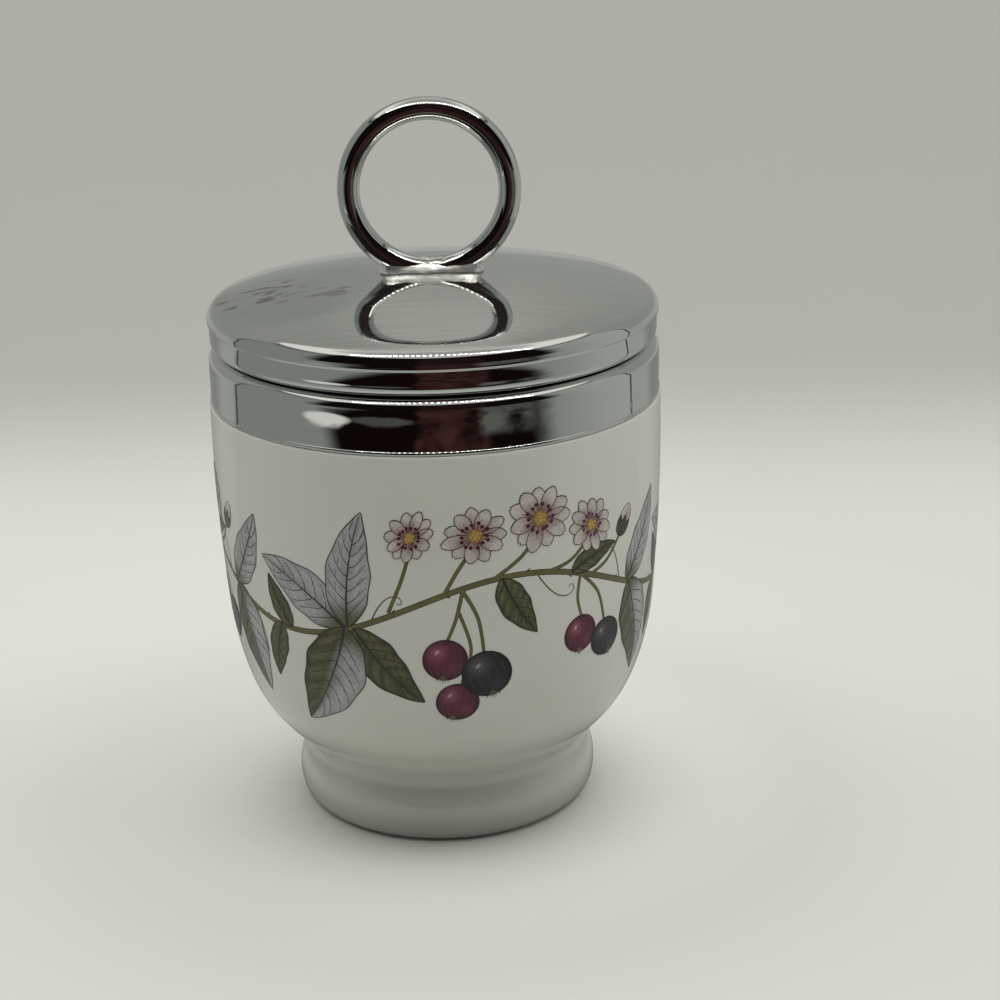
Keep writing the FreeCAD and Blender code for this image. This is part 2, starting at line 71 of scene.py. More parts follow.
# porcelain
FOOT_RADIUS = 21.8 * MM
SWELL_RADIUS = 8.4 * MM
SWELL_HEIGHT = 4.0 * MM
TOE_RADIUS = 2.4 * MM
COVE_RADIUS = 2.8 * MM
HIP_RADIUS = 19.0 * MM
HIP_HEIGHT = 20.0 * MM
BELLY_RADIUS = 42.0 * MM
BELLY_HEIGHT = 30.0 * MM
SIDE_RADIUS = 270.0 * MM
WIDEST_HEIGHT = 56.0 * MM
LEDGE_ROUND = 0.5 * MM
CUP_WALL = 3.2 * MM
THROAT_RISE = 1.1 * MM
THROAT_RADIUS = 3.8 * MM
RIM_ROUND = 0.6 * MM
FOOT_RING_WIDTH = 1.2 * MM
RECESS_ROUND = 0.8 * MM
RECESS_DEPTH = 3.8 * MM

# pressed metal
SHEET = 0.6 * MM
CEMENT = 0.5 * MM
COLLAR_INSET = 0.25 * MM
COLLAR_RADIUS = CUP_RADIUS - COLLAR_INSET
NECK_RADIUS = 29.2 * MM
SHOULDER_HEIGHT = LEDGE + 7.4 * MM
SHOULDER_ROUND = 1.5 * MM
NECK_COVE = 0.4 * MM
RIM_BEND = 0.9 * MM
FLANGE_WIDTH = 2.1 * MM
LIP_HEIGHT = 0.5 * MM
LIP_RADIUS = 0.32 * MM
NECK_PORCELAIN = 2.5 * MM
MOUTH_RADIUS = NECK_RADIUS - SHEET - CEMENT - NECK_PORCELAIN
DOME_RADIUS = 135.0 * MM
EDGE_RADIUS = 1.85 * MM
STEP_DROP = 2.13 * MM
STEP_DEPTH = 0.25 * MM
STEP_ROUND = STEP_DEPTH * 1.3
STEP_EASE = 0.06 * MM
HEM_RADIUS = 1.45 * MM
HEM_WIDTH = 0.1 * MM

# fineness of the meshes
ARC_STEPS = 160
ARC_STEP_LENGTH = 1.2 * MM
STRAIGHT_STEP_LENGTH = 2.5 * MM
SAME_POINT = 1e-7
SEGMENTS = 288
CUP_SEGMENTS = 204
LID_SEGMENTS = 320
TURNED_SHARP = math.radians(32)
PRINT_SHARP = math.radians(40)
WIRE_SHARP = math.radians(50)
SOLDER_SHARP = math.radians(70)


# ------------------------------------------------------------------ meshes and objects
def new_mesh(name, vertices, faces):
    mesh = bpy.data.meshes.new(name)
    mesh.from_pydata(vertices, [], faces)
    return mesh


def new_object(name, data):
    made = bpy.data.objects.new(name, data)
    bpy.context.scene.collection.objects.link(made)
    return made


def dress(piece, material):
    piece.data.materials.clear()
    piece.data.materials.append(material)


def finish_piece(name, mesh, body, replaced, sharp):
    """Smooth the mesh, keep its edges past the sharp angle, and set the piece on its body."""
    mesh.validate()
    for polygon in mesh.polygons:
        polygon.use_smooth = True
    mesh.set_sharp_from_angle(angle=sharp)
    piece = new_object(name, mesh)
    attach(piece, body)
    if replaced:
        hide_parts(*replaced)
    return piece


# ------------------------------------------------------------------ turned outlines
def sweep_arc(start, end, radius):
    """Points of an arc from start to end: to the left for a positive radius, else to the right."""
    a, b = Vector(start), Vector(end)
    chord = b - a
    size = abs(radius)
    reach = math.sqrt(max(size * size - chord.length_squared / 4.0, 0.0))
    side = Vector((-chord.y, chord.x)).normalized() * math.copysign(reach, radius)
    centre = (a + b) / 2.0 + side
    first = math.atan2(a.y - centre.y, a.x - centre.x)
    last = math.atan2(b.y - centre.y, b.x - centre.x)
    turn = (last - first) % TURN
    if radius < 0:
        turn -= TURN
    count = max(3, math.ceil(abs(turn) / TURN * ARC_STEPS), math.ceil(abs(turn) * size / ARC_STEP_LENGTH))
    return [(centre.x + size * math.cos(first + turn * k / count),
             centre.y + size * math.sin(first + turn * k / count)) for k in range(1, count + 1)]


def trace(start, *moves):
    """An outline from moves (r, z) for a straight edge and (r, z, radius) for an arc."""
    points = [start]
    for move in moves:
        if len(move) == 3:
            points += sweep_arc(points[-1], move[:2], move[2])
        else:
            before, after = Vector(points[-1]), Vector(move)
            count = max(1, math.ceil((after - before).length / STRAIGHT_STEP_LENGTH))
            points += [tuple(before.lerp(after, k / count)) for k in range(1, count + 1)]
    return points


def turned_piece(name, outline, body, replaced, segments=SEGMENTS):
    """Turn a closed outline once round the Z axis. Its points run anticlockwise in (r, z)."""
    closed = (Vector(outline[0]) - Vector(outline[-1])).length < SAME_POINT
    points = outline[:-1] if closed else outline
    vertices, rings = [], []
    for r, z in points:
        if r < SAME_POINT:
            rings.append([len(vertices)] * segments)
            vertices.append((0.0, 0.0, z))
            continue
        rings.append(list(range(len(vertices), len(vertices) + segments)))
        vertices += [(r * math.cos(TURN * k / segments), r * math.sin(TURN * k / segments), z)
                     for k in range(segments)]
    faces = []
    for index, ring in enumerate(rings):
        after = rings[(index + 1) % len(rings)]
        for k in range(segments):
            n = (k + 1) % segments
            corners = list(dict.fromkeys([ring[k], ring[n], after[n], after[k]]))
            if len(corners) > 2:
                faces.append(corners)
    return finish_piece(name, new_mesh(name, vertices, faces), body, replaced, TURNED_SHARP)


def bowl_chain(inset):
    """Where the side, belly and hip arcs of the bowl's wall meet, set in from its outside."""
    lean_belly = (WIDEST_HEIGHT - BELLY_HEIGHT) / SIDE_RADIUS
    lean_hip = lean_belly + (BELLY_HEIGHT - HIP_HEIGHT) / BELLY_RADIUS
    side, belly, hip = SIDE_RADIUS - inset, BELLY_RADIUS - inset, HIP_RADIUS - inset
    cos_belly, cos_hip = math.sqrt(1 - lean_belly ** 2), math.sqrt(1 - lean_hip ** 2)
    belly_end = (CUP_RADIUS - SIDE_RADIUS + side * cos_belly, BELLY_HEIGHT + inset * lean_belly)
    hip_end = (belly_end[0] - belly * (cos_belly - cos_hip), HIP_HEIGHT + inset * lean_hip)
    centre = (hip_end[0] - hip * cos_hip, hip_end[1] + hip * lean_hip)
    return belly_end, hip_end, centre


def toward(first, second, reach):
    """The point at a distance from the first point, on the way to the second."""
    step = Vector(second) - Vector(first)
    return tuple(Vector(first) + step * (reach / step.length))


def outer_meeting(first, first_reach, second, second_reach):
    """The point at given distances from two others, on the side away from the axis."""
    step = Vector(second) - Vector(first)
    along = (first_reach ** 2 - second_reach ** 2 + step.length_squared) / (2.0 * step.length)
    aside = math.sqrt(first_reach ** 2 - along ** 2)
    step.normalize()
    return (first[0] + step.x * along + step.y * aside, first[1] + step.y * along - step.x * aside)


def toe_foot():
    """Radius at which the rounded toe leaves the table."""
    return FOOT_RADIUS - SWELL_RADIUS + math.sqrt(
        (SWELL_RADIUS - TOE_RADIUS) ** 2 - (SWELL_HEIGHT - TOE_RADIUS) ** 2)


def cup_outside():
    """The cup's outside from the edge of the foot ring up to the ledge under the collar."""
    belly_end, hip_end, hip = bowl_chain(0.0)
    swell = (FOOT_RADIUS - SWELL_RADIUS, SWELL_HEIGHT)
    toe = (toe_foot(), TOE_RADIUS)
    cove = outer_meeting(swell, SWELL_RADIUS + COVE_RADIUS, hip, HIP_RADIUS + COVE_RADIUS)
    ledge_r = CUP_RADIUS - SIDE_RADIUS + math.sqrt(
        SIDE_RADIUS ** 2 - (LEDGE - LEDGE_ROUND - WIDEST_HEIGHT) ** 2)
    return trace(
        (toe[0], 0.0),
        (*toward(swell, toe, SWELL_RADIUS), TOE_RADIUS),
        (*toward(swell, cove, SWELL_RADIUS), SWELL_RADIUS),
        (*toward(cove, hip, COVE_RADIUS), -COVE_RADIUS),
        (*hip_end, HIP_RADIUS),
        (*belly_end, BELLY_RADIUS),
        (ledge_r, LEDGE - LEDGE_ROUND, SIDE_RADIUS),
        (ledge_r - LEDGE_ROUND, LEDGE, LEDGE_ROUND),
    )


OUTSIDE = cup_outside()


def make_cup():
    belly_end, hip_end, centre = bowl_chain(CUP_WALL)
    inner_hip = HIP_RADIUS - CUP_WALL
    widest = CUP_RADIUS - CUP_WALL
    throat_z = LEDGE + THROAT_RISE
    spread = widest - MOUTH_RADIUS
    fall = math.sqrt(4.0 * spread * THROAT_RADIUS - spread ** 2)
    neck_seat = NECK_RADIUS - SHEET - CEMENT
    band_seat = COLLAR_RADIUS - SHEET - CEMENT
    seat_step = SHOULDER_HEIGHT - SHEET - CEMENT
    ring_inside = toe_foot() - FOOT_RING_WIDTH
    recess = ring_inside - RECESS_ROUND
    outline = OUTSIDE + trace(
        OUTSIDE[-1],
        (band_seat, LEDGE),
        (band_seat, seat_step),
        (neck_seat, seat_step),
        (neck_seat, RIM_UNDER - RIM_ROUND),
        (neck_seat - RIM_ROUND, RIM_UNDER, RIM_ROUND),
        (MOUTH_RADIUS + RIM_ROUND, RIM_UNDER),
        (MOUTH_RADIUS, RIM_UNDER - RIM_ROUND, RIM_ROUND),
        (MOUTH_RADIUS, throat_z),
        (widest - spread / 2.0, throat_z - fall / 2.0, THROAT_RADIUS),
        (widest, throat_z - fall, -THROAT_RADIUS),
        (*belly_end, -(SIDE_RADIUS - CUP_WALL)),
        (*hip_end, -(BELLY_RADIUS - CUP_WALL)),
        (centre[0], centre[1] - inner_hip, -inner_hip),
        (0.0, centre[1] - inner_hip),
        (0.0, RECESS_DEPTH),
        (recess - RECESS_ROUND, RECESS_DEPTH),
        (recess, RECESS_DEPTH - RECESS_ROUND, -RECESS_ROUND),
        (recess, RECESS_ROUND),
        (ring_inside, 0.0, RECESS_ROUND),
        (toe_foot(), 0.0),
    )[1:]
    return turned_piece("coddler_cup", outline, "cup", ["porcelain_cup"], CUP_SEGMENTS)


def make_collar():
    inside = COLLAR_RADIUS - SHEET
    neck_inside = NECK_RADIUS - SHEET
    shoulder_x = COLLAR_RADIUS - SHOULDER_ROUND
    shoulder_foot = SHOULDER_HEIGHT - SHOULDER_ROUND
    cove_x = NECK_RADIUS + NECK_COVE
    cove_z = SHOULDER_HEIGHT + NECK_COVE
    bend_x = NECK_RADIUS - RIM_BEND
    bend_z = RIM_TOP - RIM_BEND
    flange_edge = NECK_RADIUS - FLANGE_WIDTH
    outline = trace(
        (inside, LEDGE),
        (COLLAR_RADIUS, LEDGE),
        (COLLAR_RADIUS, LEDGE + LIP_HEIGHT, LIP_RADIUS),
        (COLLAR_RADIUS, shoulder_foot),
        (shoulder_x, SHOULDER_HEIGHT, SHOULDER_ROUND),
        (cove_x, SHOULDER_HEIGHT),
        (NECK_RADIUS, cove_z, -NECK_COVE),
        (NECK_RADIUS, bend_z),
        (bend_x, RIM_TOP, RIM_BEND),
        (flange_edge, RIM_TOP),
        (flange_edge, RIM_UNDER),
        (bend_x, RIM_UNDER),
        (neck_inside, bend_z, -(RIM_BEND - SHEET)),
        (neck_inside, cove_z),
        (cove_x, SHOULDER_HEIGHT - SHEET, NECK_COVE + SHEET),
        (shoulder_x, SHOULDER_HEIGHT - SHEET),
        (inside, shoulder_foot, -(SHOULDER_ROUND - SHEET)),
        (inside, LEDGE),
    )
    return turned_piece("collar", outline, "cup", ["rim_collar"])


def lid_edge(inset):
    """Where the dome's arc runs into the arc of the lid's edge, and where that arc ends."""
    dome, edge = DOME_RADIUS - inset, EDGE_RADIUS - inset
    edge_x = LID_RADIUS - EDGE_RADIUS
    rise = math.sqrt((dome - edge) ** 2 - edge_x ** 2)
    grow = dome / (dome - edge)
    dome_z = LID_TOP - DOME_RADIUS
    return (edge_x * grow, dome_z + rise * grow), (LID_RADIUS - inset, dome_z + rise)


def make_lid():
    lower = LID_RADIUS - STEP_DEPTH
    hem_x = lower - HEM_RADIUS
    hem_z = LID_BOTTOM + HEM_RADIUS
    hem_end = hem_x - HEM_WIDTH
    step_bottom = RIM_TOP - STEP_DROP
    step_top = step_bottom + STEP_DEPTH
    inner_drop = STEP_DEPTH * 2.0
    outer_join, outer_end = lid_edge(0.0)
    inner_join, inner_end = lid_edge(SHEET)
    outline = trace(
        (hem_end, LID_BOTTOM),
        (hem_x, LID_BOTTOM),
        (lower, hem_z, HEM_RADIUS),
        (lower, step_bottom - STEP_EASE),
        (lower + STEP_DEPTH / 2.0, step_bottom + STEP_DEPTH / 2.0, -STEP_ROUND),
        (LID_RADIUS, step_top + STEP_EASE, STEP_ROUND),
        outer_end,
        (*outer_join, EDGE_RADIUS),
        (0.0, LID_TOP, DOME_RADIUS),
        (0.0, LID_TOP - SHEET),
        (*inner_join, -(DOME_RADIUS - SHEET)),
        (*inner_end, -(EDGE_RADIUS - SHEET)),
        (LID_RADIUS - SHEET, step_top - inner_drop),
        (lower - SHEET, step_bottom - inner_drop),
        (lower - SHEET, hem_z),
        (hem_x, LID_BOTTOM + SHEET, -(HEM_RADIUS - SHEET)),
        (hem_end, LID_BOTTOM + SHEET),
        (hem_end, LID_BOTTOM),
    )
    return turned_piece("lid", outline, "lid", ["lid_shell"], LID_SEGMENTS)


# ------------------------------------------------------------------ lifting ring and saddle
# The wire's seam, in millimetres along the wire: a bead of solder with a fine wavy groove in it.
SEAM_OFFSET, SEAM_REACH = 1.7, 3.0
BEAD_HEIGHT, BEAD_REACH, BEAD_LUMPS = 0.10, 1.1, 0.6
GROOVE_DEPTH, GROOVE_REACH, GROOVE_SWAY = 0.10, 0.10, 0.35
WIRE_POINTS, SEAM_STEPS, WIRE_STEPS = 40, 90, 220

# The solder pad: the fineness of its mesh, its sloping side, and the solder drawn up the wire.
PAD_POINTS, PAD_RINGS = 200, 30
PAD_SLOPE = 1.15 * MM
PAD_SLOPE_FORM = 1.45
PAD_SINK = 0.12 * MM
PAD_RIPPLE = 0.05 * MM
SOLDER_CLIMB = 0.55 * MM
SOLDER_THIN = 0.35 * MM
SOLDER_FADE = 0.4 * MM
SOLDER_SPREAD = 3.6 * MM


def dome_height(x, y):
    return LID_TOP - DOME_RADIUS + math.sqrt(DOME_RADIUS ** 2 - x * x - y * y)


def make_loop():
    """Bent wire loop. Its foot is ground to the dome, and solder bridges its two ends."""
    seam = math.asin(SEAM_OFFSET * MM / LOOP_RADIUS)
    reach = SEAM_REACH * MM / LOOP_RADIUS
    turns = [seam - reach + 2.0 * reach * k / SEAM_STEPS for k in range(SEAM_STEPS)]
    turns += [seam + reach + (TURN - 2.0 * reach) * k / WIRE_STEPS for k in range(WIRE_STEPS)]
    vertices, faces = [], []
    for angle in turns:
        out = Vector((math.sin(angle), 0.0, -math.cos(angle)))
        away = (angle - seam) * LOOP_RADIUS / MM
        for j in range(WIRE_POINTS):
            turn = TURN * j / WIRE_POINTS
            lumps = 1.0 + BEAD_LUMPS * math.sin(3.0 * turn + away * 1.9)
            bead = BEAD_HEIGHT * math.exp(-(away / BEAD_REACH) ** 2) * lumps
            aside = away - GROOVE_SWAY * math.sin(turn * 2.0)
            groove = GROOVE_DEPTH * math.exp(-(aside / GROOVE_REACH) ** 2)
            section = WIRE_RADIUS + (bead - groove) * MM
            point = out * (LOOP_RADIUS + section * math.cos(turn))
            point.y = section * math.sin(turn)
            point.z += LOOP_HEIGHT
            point.z = max(point.z, dome_height(point.x, point.y))
            vertices.append(point)
    for k in range(len(turns)):
        ring, after = k * WIRE_POINTS, (k + 1) % len(turns) * WIRE_POINTS
        for j in range(WIRE_POINTS):
            n = (j + 1) % WIRE_POINTS
            faces.append([ring + j, after + j, after + n, ring + n])
    mesh = new_mesh("ring", vertices, faces)
    return finish_piece("ring", mesh, "lid", ["lifting_ring"], WIRE_SHARP)


def pad_point(k, offset):
    """Point on the pad's plan, drawn in from its rim by the offset."""
    angle = TURN * k / PAD_POINTS
    direction = Vector((math.cos(angle), math.sin(angle)))
    radius = SADDLE_HIGH.y - offset
    straight = math.copysign(SADDLE_HIGH.x - SADDLE_HIGH.y, direction.x)
    ease = min(1.0, abs(direction.x) * 4.0)
    return straight * ease + radius * direction.x, radius * direction.y


def pad_top(x, y, offset):
    """Height of the pad at a place that is the offset in from its rim, with the solder on the wire."""
    height = SADDLE_HIGH.z - LID_TOP
    rise = 1.0 - (1.0 - min(1.0, offset / PAD_SLOPE)) ** PAD_SLOPE_FORM
    reach = math.hypot(x, LOOP_HEIGHT - LID_TOP - height)
    cover = 0.80 - 0.45 * math.exp(-(x / SOLDER_SPREAD) ** 4)
    near = max(abs(y) - WIRE_RADIUS * cover, 0.0)
    climb = SOLDER_CLIMB * math.exp(-near / SOLDER_THIN)
    if reach > LOOP_RADIUS + WIRE_RADIUS:
        climb *= math.exp(-(reach - LOOP_RADIUS - WIRE_RADIUS) / SOLDER_FADE)
    ripple = math.sin(x * 2300.0 + 1.0) * math.sin(x * 910.0 + y * 1500.0)
    ease = min(1.0, offset / SOLDER_FADE)
    return dome_height(x, y) + height * rise + (climb + PAD_RIPPLE * ripple) * ease - PAD_RIPPLE


def make_saddle():
    """Long pad under the ring, with sloping sides, and the solder drawn up against the wire."""
    vertices, faces = [], []
    for k in range(PAD_POINTS):
        x, y = pad_point(k, 0.0)
        vertices.append((x, y, dome_height(x, y) - PAD_SINK))
    for ring in range(PAD_RINGS + 1):
        offset = SADDLE_HIGH.y * 0.97 * (ring / PAD_RINGS) ** 1.4
        for k in range(PAD_POINTS):
            x, y = pad_point(k, offset)
            vertices.append((x, y, pad_top(x, y, offset)))
    for ring in range(PAD_RINGS + 1):
        low, high = ring * PAD_POINTS, (ring + 1) * PAD_POINTS
        for k in range(PAD_POINTS):
            n = (k + 1) % PAD_POINTS
            faces.append([low + k, low + n, high + n, high + k])
    last = (PAD_RINGS + 1) * PAD_POINTS
    faces.append([last + k for k in range(PAD_POINTS)])
    faces.append(list(reversed(range(PAD_POINTS))))
    mesh = new_mesh("saddle", vertices, faces)
    return finish_piece("saddle", mesh, "lid", ["ring_saddle"], SOLDER_SHARP)


# ------------------------------------------------------------------ screw threads
THREAD_INPUTS = {
    "Turns": "NodeSocketFloat",
    "Radius": "NodeSocketFloat",
    "Rise": "NodeSocketFloat",
    "Start Height": "NodeSocketFloat",
    "Bead Radius": "NodeSocketFloat",
    "Metal": "NodeSocketMaterial",
}

# The crests are measured outwards from the neck, the lid's too, which points inwards.
THREAD_BEAD = 0.35 * MM
NECK_CREST = 0.19 * MM
LID_CREST = 0.27 * MM
NECK_TURNS, LID_TURNS = 2.25, 1.6
THREAD_STEPS, BEAD_STEPS = 220, 14


def thread_tree():
    """Rounded helical ridge: a spiral path with a round bead of metal laid along it."""
    tree = bpy.data.node_groups.new("thread_ridge", "GeometryNodeTree")
    sockets = {}
    for name, kind in THREAD_INPUTS.items():
        socket = tree.interface.new_socket(name=name, in_out="INPUT", socket_type=kind)
        sockets[name] = socket.identifier
    tree.interface.new_socket(name="Geometry", in_out="OUTPUT", socket_type="NodeSocketGeometry")
    given = tree.nodes.new("NodeGroupInput")
    spiral = tree.nodes.new("GeometryNodeCurveSpiral")
    spiral.inputs["Resolution"].default_value = THREAD_STEPS
    bead = tree.nodes.new("GeometryNodeCurvePrimitiveCircle")
    bead.inputs["Resolution"].default_value = BEAD_STEPS
    sweep = tree.nodes.new("GeometryNodeCurveToMesh")
    sweep.inputs["Fill Caps"].default_value = True
    offset = tree.nodes.new("ShaderNodeCombineXYZ")
    lift = tree.nodes.new("GeometryNodeTransform")
    realize = tree.nodes.new("GeometryNodeRealizeInstances")
    plate = tree.nodes.new("GeometryNodeSetMaterial")
    result = tree.nodes.new("NodeGroupOutput")
    link = tree.links.new
    link(given.outputs["Turns"], spiral.inputs["Rotations"])
    link(given.outputs["Radius"], spiral.inputs["Start Radius"])
    link(given.outputs["Radius"], spiral.inputs["End Radius"])
    link(given.outputs["Rise"], spiral.inputs["Height"])
    link(given.outputs["Bead Radius"], bead.inputs["Radius"])
    link(spiral.outputs["Curve"], sweep.inputs["Curve"])
    link(bead.outputs["Curve"], sweep.inputs["Profile Curve"])
    link(given.outputs["Start Height"], offset.inputs["Z"])
    link(offset.outputs[0], lift.inputs["Translation"])
    link(sweep.outputs["Mesh"], lift.inputs["Geometry"])
    link(lift.outputs["Geometry"], realize.inputs["Geometry"])
    link(realize.outputs["Geometry"], plate.inputs["Geometry"])
    link(given.outputs["Metal"], plate.inputs["Material"])
    link(plate.outputs["Geometry"], result.inputs["Geometry"])
    return tree, sockets


def make_thread(name, body, tree, sockets, sizes):
    """Run the ridge's tree with a value for each input, and keep the result as a plain mesh."""
    stand_in = new_object(name + "_path", bpy.data.meshes.new(name + "_path"))
    ridge = stand_in.modifiers.new("ridge", "NODES")
    ridge.node_group = tree
    for socket, value in sizes.items():
        ridge[sockets[socket]] = value
    shaped = stand_in.evaluated_get(bpy.context.evaluated_depsgraph_get())
    mesh = bpy.data.meshes.new_from_object(shaped)
    mesh.name = name
    bpy.data.objects.remove(stand_in)
    return finish_piece(name, mesh, body, (), WIRE_SHARP)


def make_threads(neck_metal, ring_metal):
    """Rolled thread round the collar's neck, and the one inside the lid that runs over it."""
    tree, sockets = thread_tree()
    neck_low = SHOULDER_HEIGHT + NECK_COVE + THREAD_BEAD
    neck_high = RIM_TOP - RIM_BEND - THREAD_BEAD
    make_thread("neck_thread", "cup", tree, sockets, {
        "Turns": NECK_TURNS,
        "Radius": NECK_RADIUS + NECK_CREST - THREAD_BEAD,
        "Rise": neck_high - neck_low,
        "Start Height": neck_low,
        "Bead Radius": THREAD_BEAD,
        "Metal": neck_metal,
    })
    ring_low, ring_high = THREAD_LOW.z + THREAD_BEAD, THREAD_HIGH.z - THREAD_BEAD
    make_thread("lid_thread", "thread_ring", tree, sockets, {
        "Turns": LID_TURNS,
        "Radius": NECK_RADIUS + LID_CREST + THREAD_BEAD,
        "Rise": ring_high - ring_low,
        "Start Height": ring_low,
        "Bead Radius": THREAD_BEAD,
        "Metal": ring_metal,
    })


# ------------------------------------------------------------------ node graph helper
class Graph:
    """Short names for building a node tree in code."""

    def __init__(self, tree):
        self.tree = tree
        self.column = 0

    def node(self, kind, **settings):
        made = self.tree.nodes.new(kind)
        self.column += 1
        made.location = (180 * (self.column % 9), -220 * (self.column // 9))
        for name, value in settings.items():
            setattr(made, name, value)
        return made

    def plug(self, socket, value):
        if isinstance(value, bpy.types.NodeSocket):
            self.tree.links.new(value, socket)
        elif value is not None:
            socket.default_value = value

    def math(self, operation, first, second=None):
        made = self.node("ShaderNodeMath", operation=operation)
        for socket, value in zip(made.inputs, (first, second)):
            self.plug(socket, value)
        return made.outputs[0]

    def times(self, first, *others):
        for other in others:
            first = self.math("MULTIPLY", first, other)
        return first

    def plus(self, first, second):
        return self.math("ADD", first, second)

    def minus(self, first, second):
        return self.math("SUBTRACT", first, second)

    def ramp(self, value, low, high, start=0.0, end=1.0, smooth=True):
        made = self.node("ShaderNodeMapRange", clamp=True)
        made.interpolation_type = "SMOOTHSTEP" if smooth else "LINEAR"
        for socket, item in zip(made.inputs, (value, low, high, start, end)):
            self.plug(socket, item)
        return made.outputs[0]

    def mix(self, share, first, second, blend="MIX"):
        made = self.node("ShaderNodeMix", data_type="RGBA", blend_type=blend)
        self.plug(made.inputs["Factor"], share)
        for socket, value in ((made.inputs[6], first), (made.inputs[7], second)):
            self.plug(socket, (*value, 1.0) if isinstance(value, tuple) and len(value) == 3 else value)
        return made.outputs[2]

    def noise(self, vector, scale, detail=3.0, roughness=0.5):
        made = self.node("ShaderNodeTexNoise")
        self.plug(made.inputs["Vector"], vector)
        self.plug(made.inputs["Scale"], scale)
        self.plug(made.inputs["Detail"], detail)
        self.plug(made.inputs["Roughness"], roughness)
        return made.outputs["Fac"]

    def spots(self, vector, scale):
        made = self.node("ShaderNodeTexVoronoi", feature="F1")
        self.plug(made.inputs["Vector"], vector)
        self.plug(made.inputs["Scale"], scale)
        return made.outputs

    def bump(self, height, strength, distance, normal=None):
        made = self.node("ShaderNodeBump")
        self.plug(made.inputs["Strength"], strength)
        self.plug(made.inputs["Distance"], distance)
        self.plug(made.inputs["Height"], height)
        if normal is not None:
            self.plug(made.inputs["Normal"], normal)
        return made.outputs[0]

    def object_place(self):
        return self.node("ShaderNodeTexCoord").outputs["Object"]

    def split(self, vector):
        made = self.node("ShaderNodeSeparateXYZ")
        self.plug(made.inputs[0], vector)
        return made.outputs

    def join(self, x, y, z):
        made = self.node("ShaderNodeCombineXYZ")
        for socket, value in zip(made.inputs, (x, y, z)):
            self.plug(socket, value)
        return made.outputs[0]


def new_material(name):
    material = bpy.data.materials.new(name)
    material.use_nodes = True
    graph = Graph(material.node_tree)
    shader = material.node_tree.nodes["Principled BSDF"]
    return material, graph, shader


def reach_from_axis(graph, x, y):
    """Distance from the cup's axis."""
    return graph.math("SQRT", graph.plus(graph.times(x, x), graph.times(y, y)))


def patch(graph, first, second, middle, reach):
    """1 in the middle of an oval patch, falling to 0 at its edge."""
    a = graph.math("DIVIDE", graph.minus(first, middle[0]), reach[0])
    b = graph.math("DIVIDE", graph.minus(second, middle[1]), reach[1])
    return graph.ramp(graph.plus(graph.times(a, a), graph.times(b, b)), 1.0, 0.35)


def between(graph, value, low, high, soft):
    """1 inside a range of values, falling to 0 over a soft edge outside it."""
    return graph.times(graph.ramp(value, low - soft, low), graph.ramp(value, high + soft, high))


def specks(graph, place, scale, size, rarity):
    """Small dots of mixed sizes, in those cells whose chance is above the rarity."""
    cells = graph.spots(place, scale)
    chance = graph.split(cells["Color"])
    small = graph.math("LESS_THAN", cells["Distance"], graph.times(chance[0], size))
    return graph.times(small, graph.math("GREATER_THAN", chance[1], rarity))


# ------------------------------------------------------------------ finishes
GLAZE_GREY, GLAZE_WHITE = (0.695, 0.70, 0.655), (0.735, 0.74, 0.695)
GLAZE_SPECK = (0.12, 0.105, 0.09)
FOOT_DIRT = (0.47, 0.44, 0.39)
CHROME_GREY, CHROME_PALE = (0.61, 0.625, 0.595), (0.665, 0.68, 0.65)
BRUSHED_GREY, BRUSHED_PALE = (0.615, 0.625, 0.60), (0.70, 0.71, 0.685)
HANDLED_GREY = (0.46, 0.47, 0.45)
WORN_DARK = (0.20, 0.205, 0.195)
SOLDER_PALE = (0.92, 0.92, 0.89)
# Dark line at the solder's foot: flux residue and painted contact shade.
SOLDER_SEAT_FLUX_AND_SHADE = (0.30, 0.30, 0.29)
CEMENT_BROWN, CEMENT_PALE = (0.60, 0.56, 0.48), (0.76, 0.73, 0.66)
THREAD_GREY, THREAD_BRASS = (0.62, 0.60, 0.54), (0.66, 0.55, 0.34)
GLAZE_IOR, ENAMEL_IOR = 1.52, 1.40

# Worn places on the lid's top: the middle and the reach of each, as (x, y).
HANDLED_PATCH = (-19.0 * MM, -4.0 * MM), (16.0 * MM, 16.0 * MM)
WORN_PATCH = (-23.7 * MM, -3.0 * MM), (7.5 * MM, 8.5 * MM)
SMALL_WORN_PATCH = (-13.7 * MM, -7.2 * MM), (4.5 * MM, 3.0 * MM)

# Heights over which the lid's skirt gives way to its brushed top.
LID_TOP_FROM = (LID_TOP - 4.0 * MM, LID_TOP - 3.3 * MM)

# The pressed top's gentle unevenness: flatter in the middle, and falling faster by its rim.
FLAT_REACH = 17.0 * MM
FLAT_DISH = 0.567 * MM
RIM_FALL_START = 25.65 * MM
RIM_FALL = 1825.0


def porcelain_finish():
    """White glaze: slightly mottled, with a few dark specks, and bare where the foot stands."""
    material, g, shader = new_material("white_glaze")
    place = g.object_place()
    white = g.mix(g.noise(place, 55.0, 4.0), GLAZE_GREY, GLAZE_WHITE)
    dots = g.times(specks(g, place, 95.0, 0.035, 0.8), 0.75)
    bare = g.ramp(g.split(place)[2], 0.35 * MM, 0.12 * MM)
    dirt = g.times(bare, g.ramp(g.noise(place, 900.0), 0.3, 0.8), 0.55)
    g.plug(shader.inputs["Base Color"], g.mix(dirt, g.mix(dots, white, GLAZE_SPECK), FOOT_DIRT))
    g.plug(shader.inputs["Roughness"], g.ramp(bare, 0.0, 1.0, 0.09, 0.7))
    g.plug(shader.inputs["Normal"], g.bump(g.noise(place, 60.0, 2.0), 0.35, 0.00035))
    shader.inputs["IOR"].default_value = GLAZE_IOR
    return material


def drawn_out(g, x, y, along, across, detail, roughness):
    """Noise that is drawn out along X, as the marks of brushing are."""
    return g.noise(g.join(g.times(x, along), g.times(y, across), 0.0), 1.0, detail, roughness)


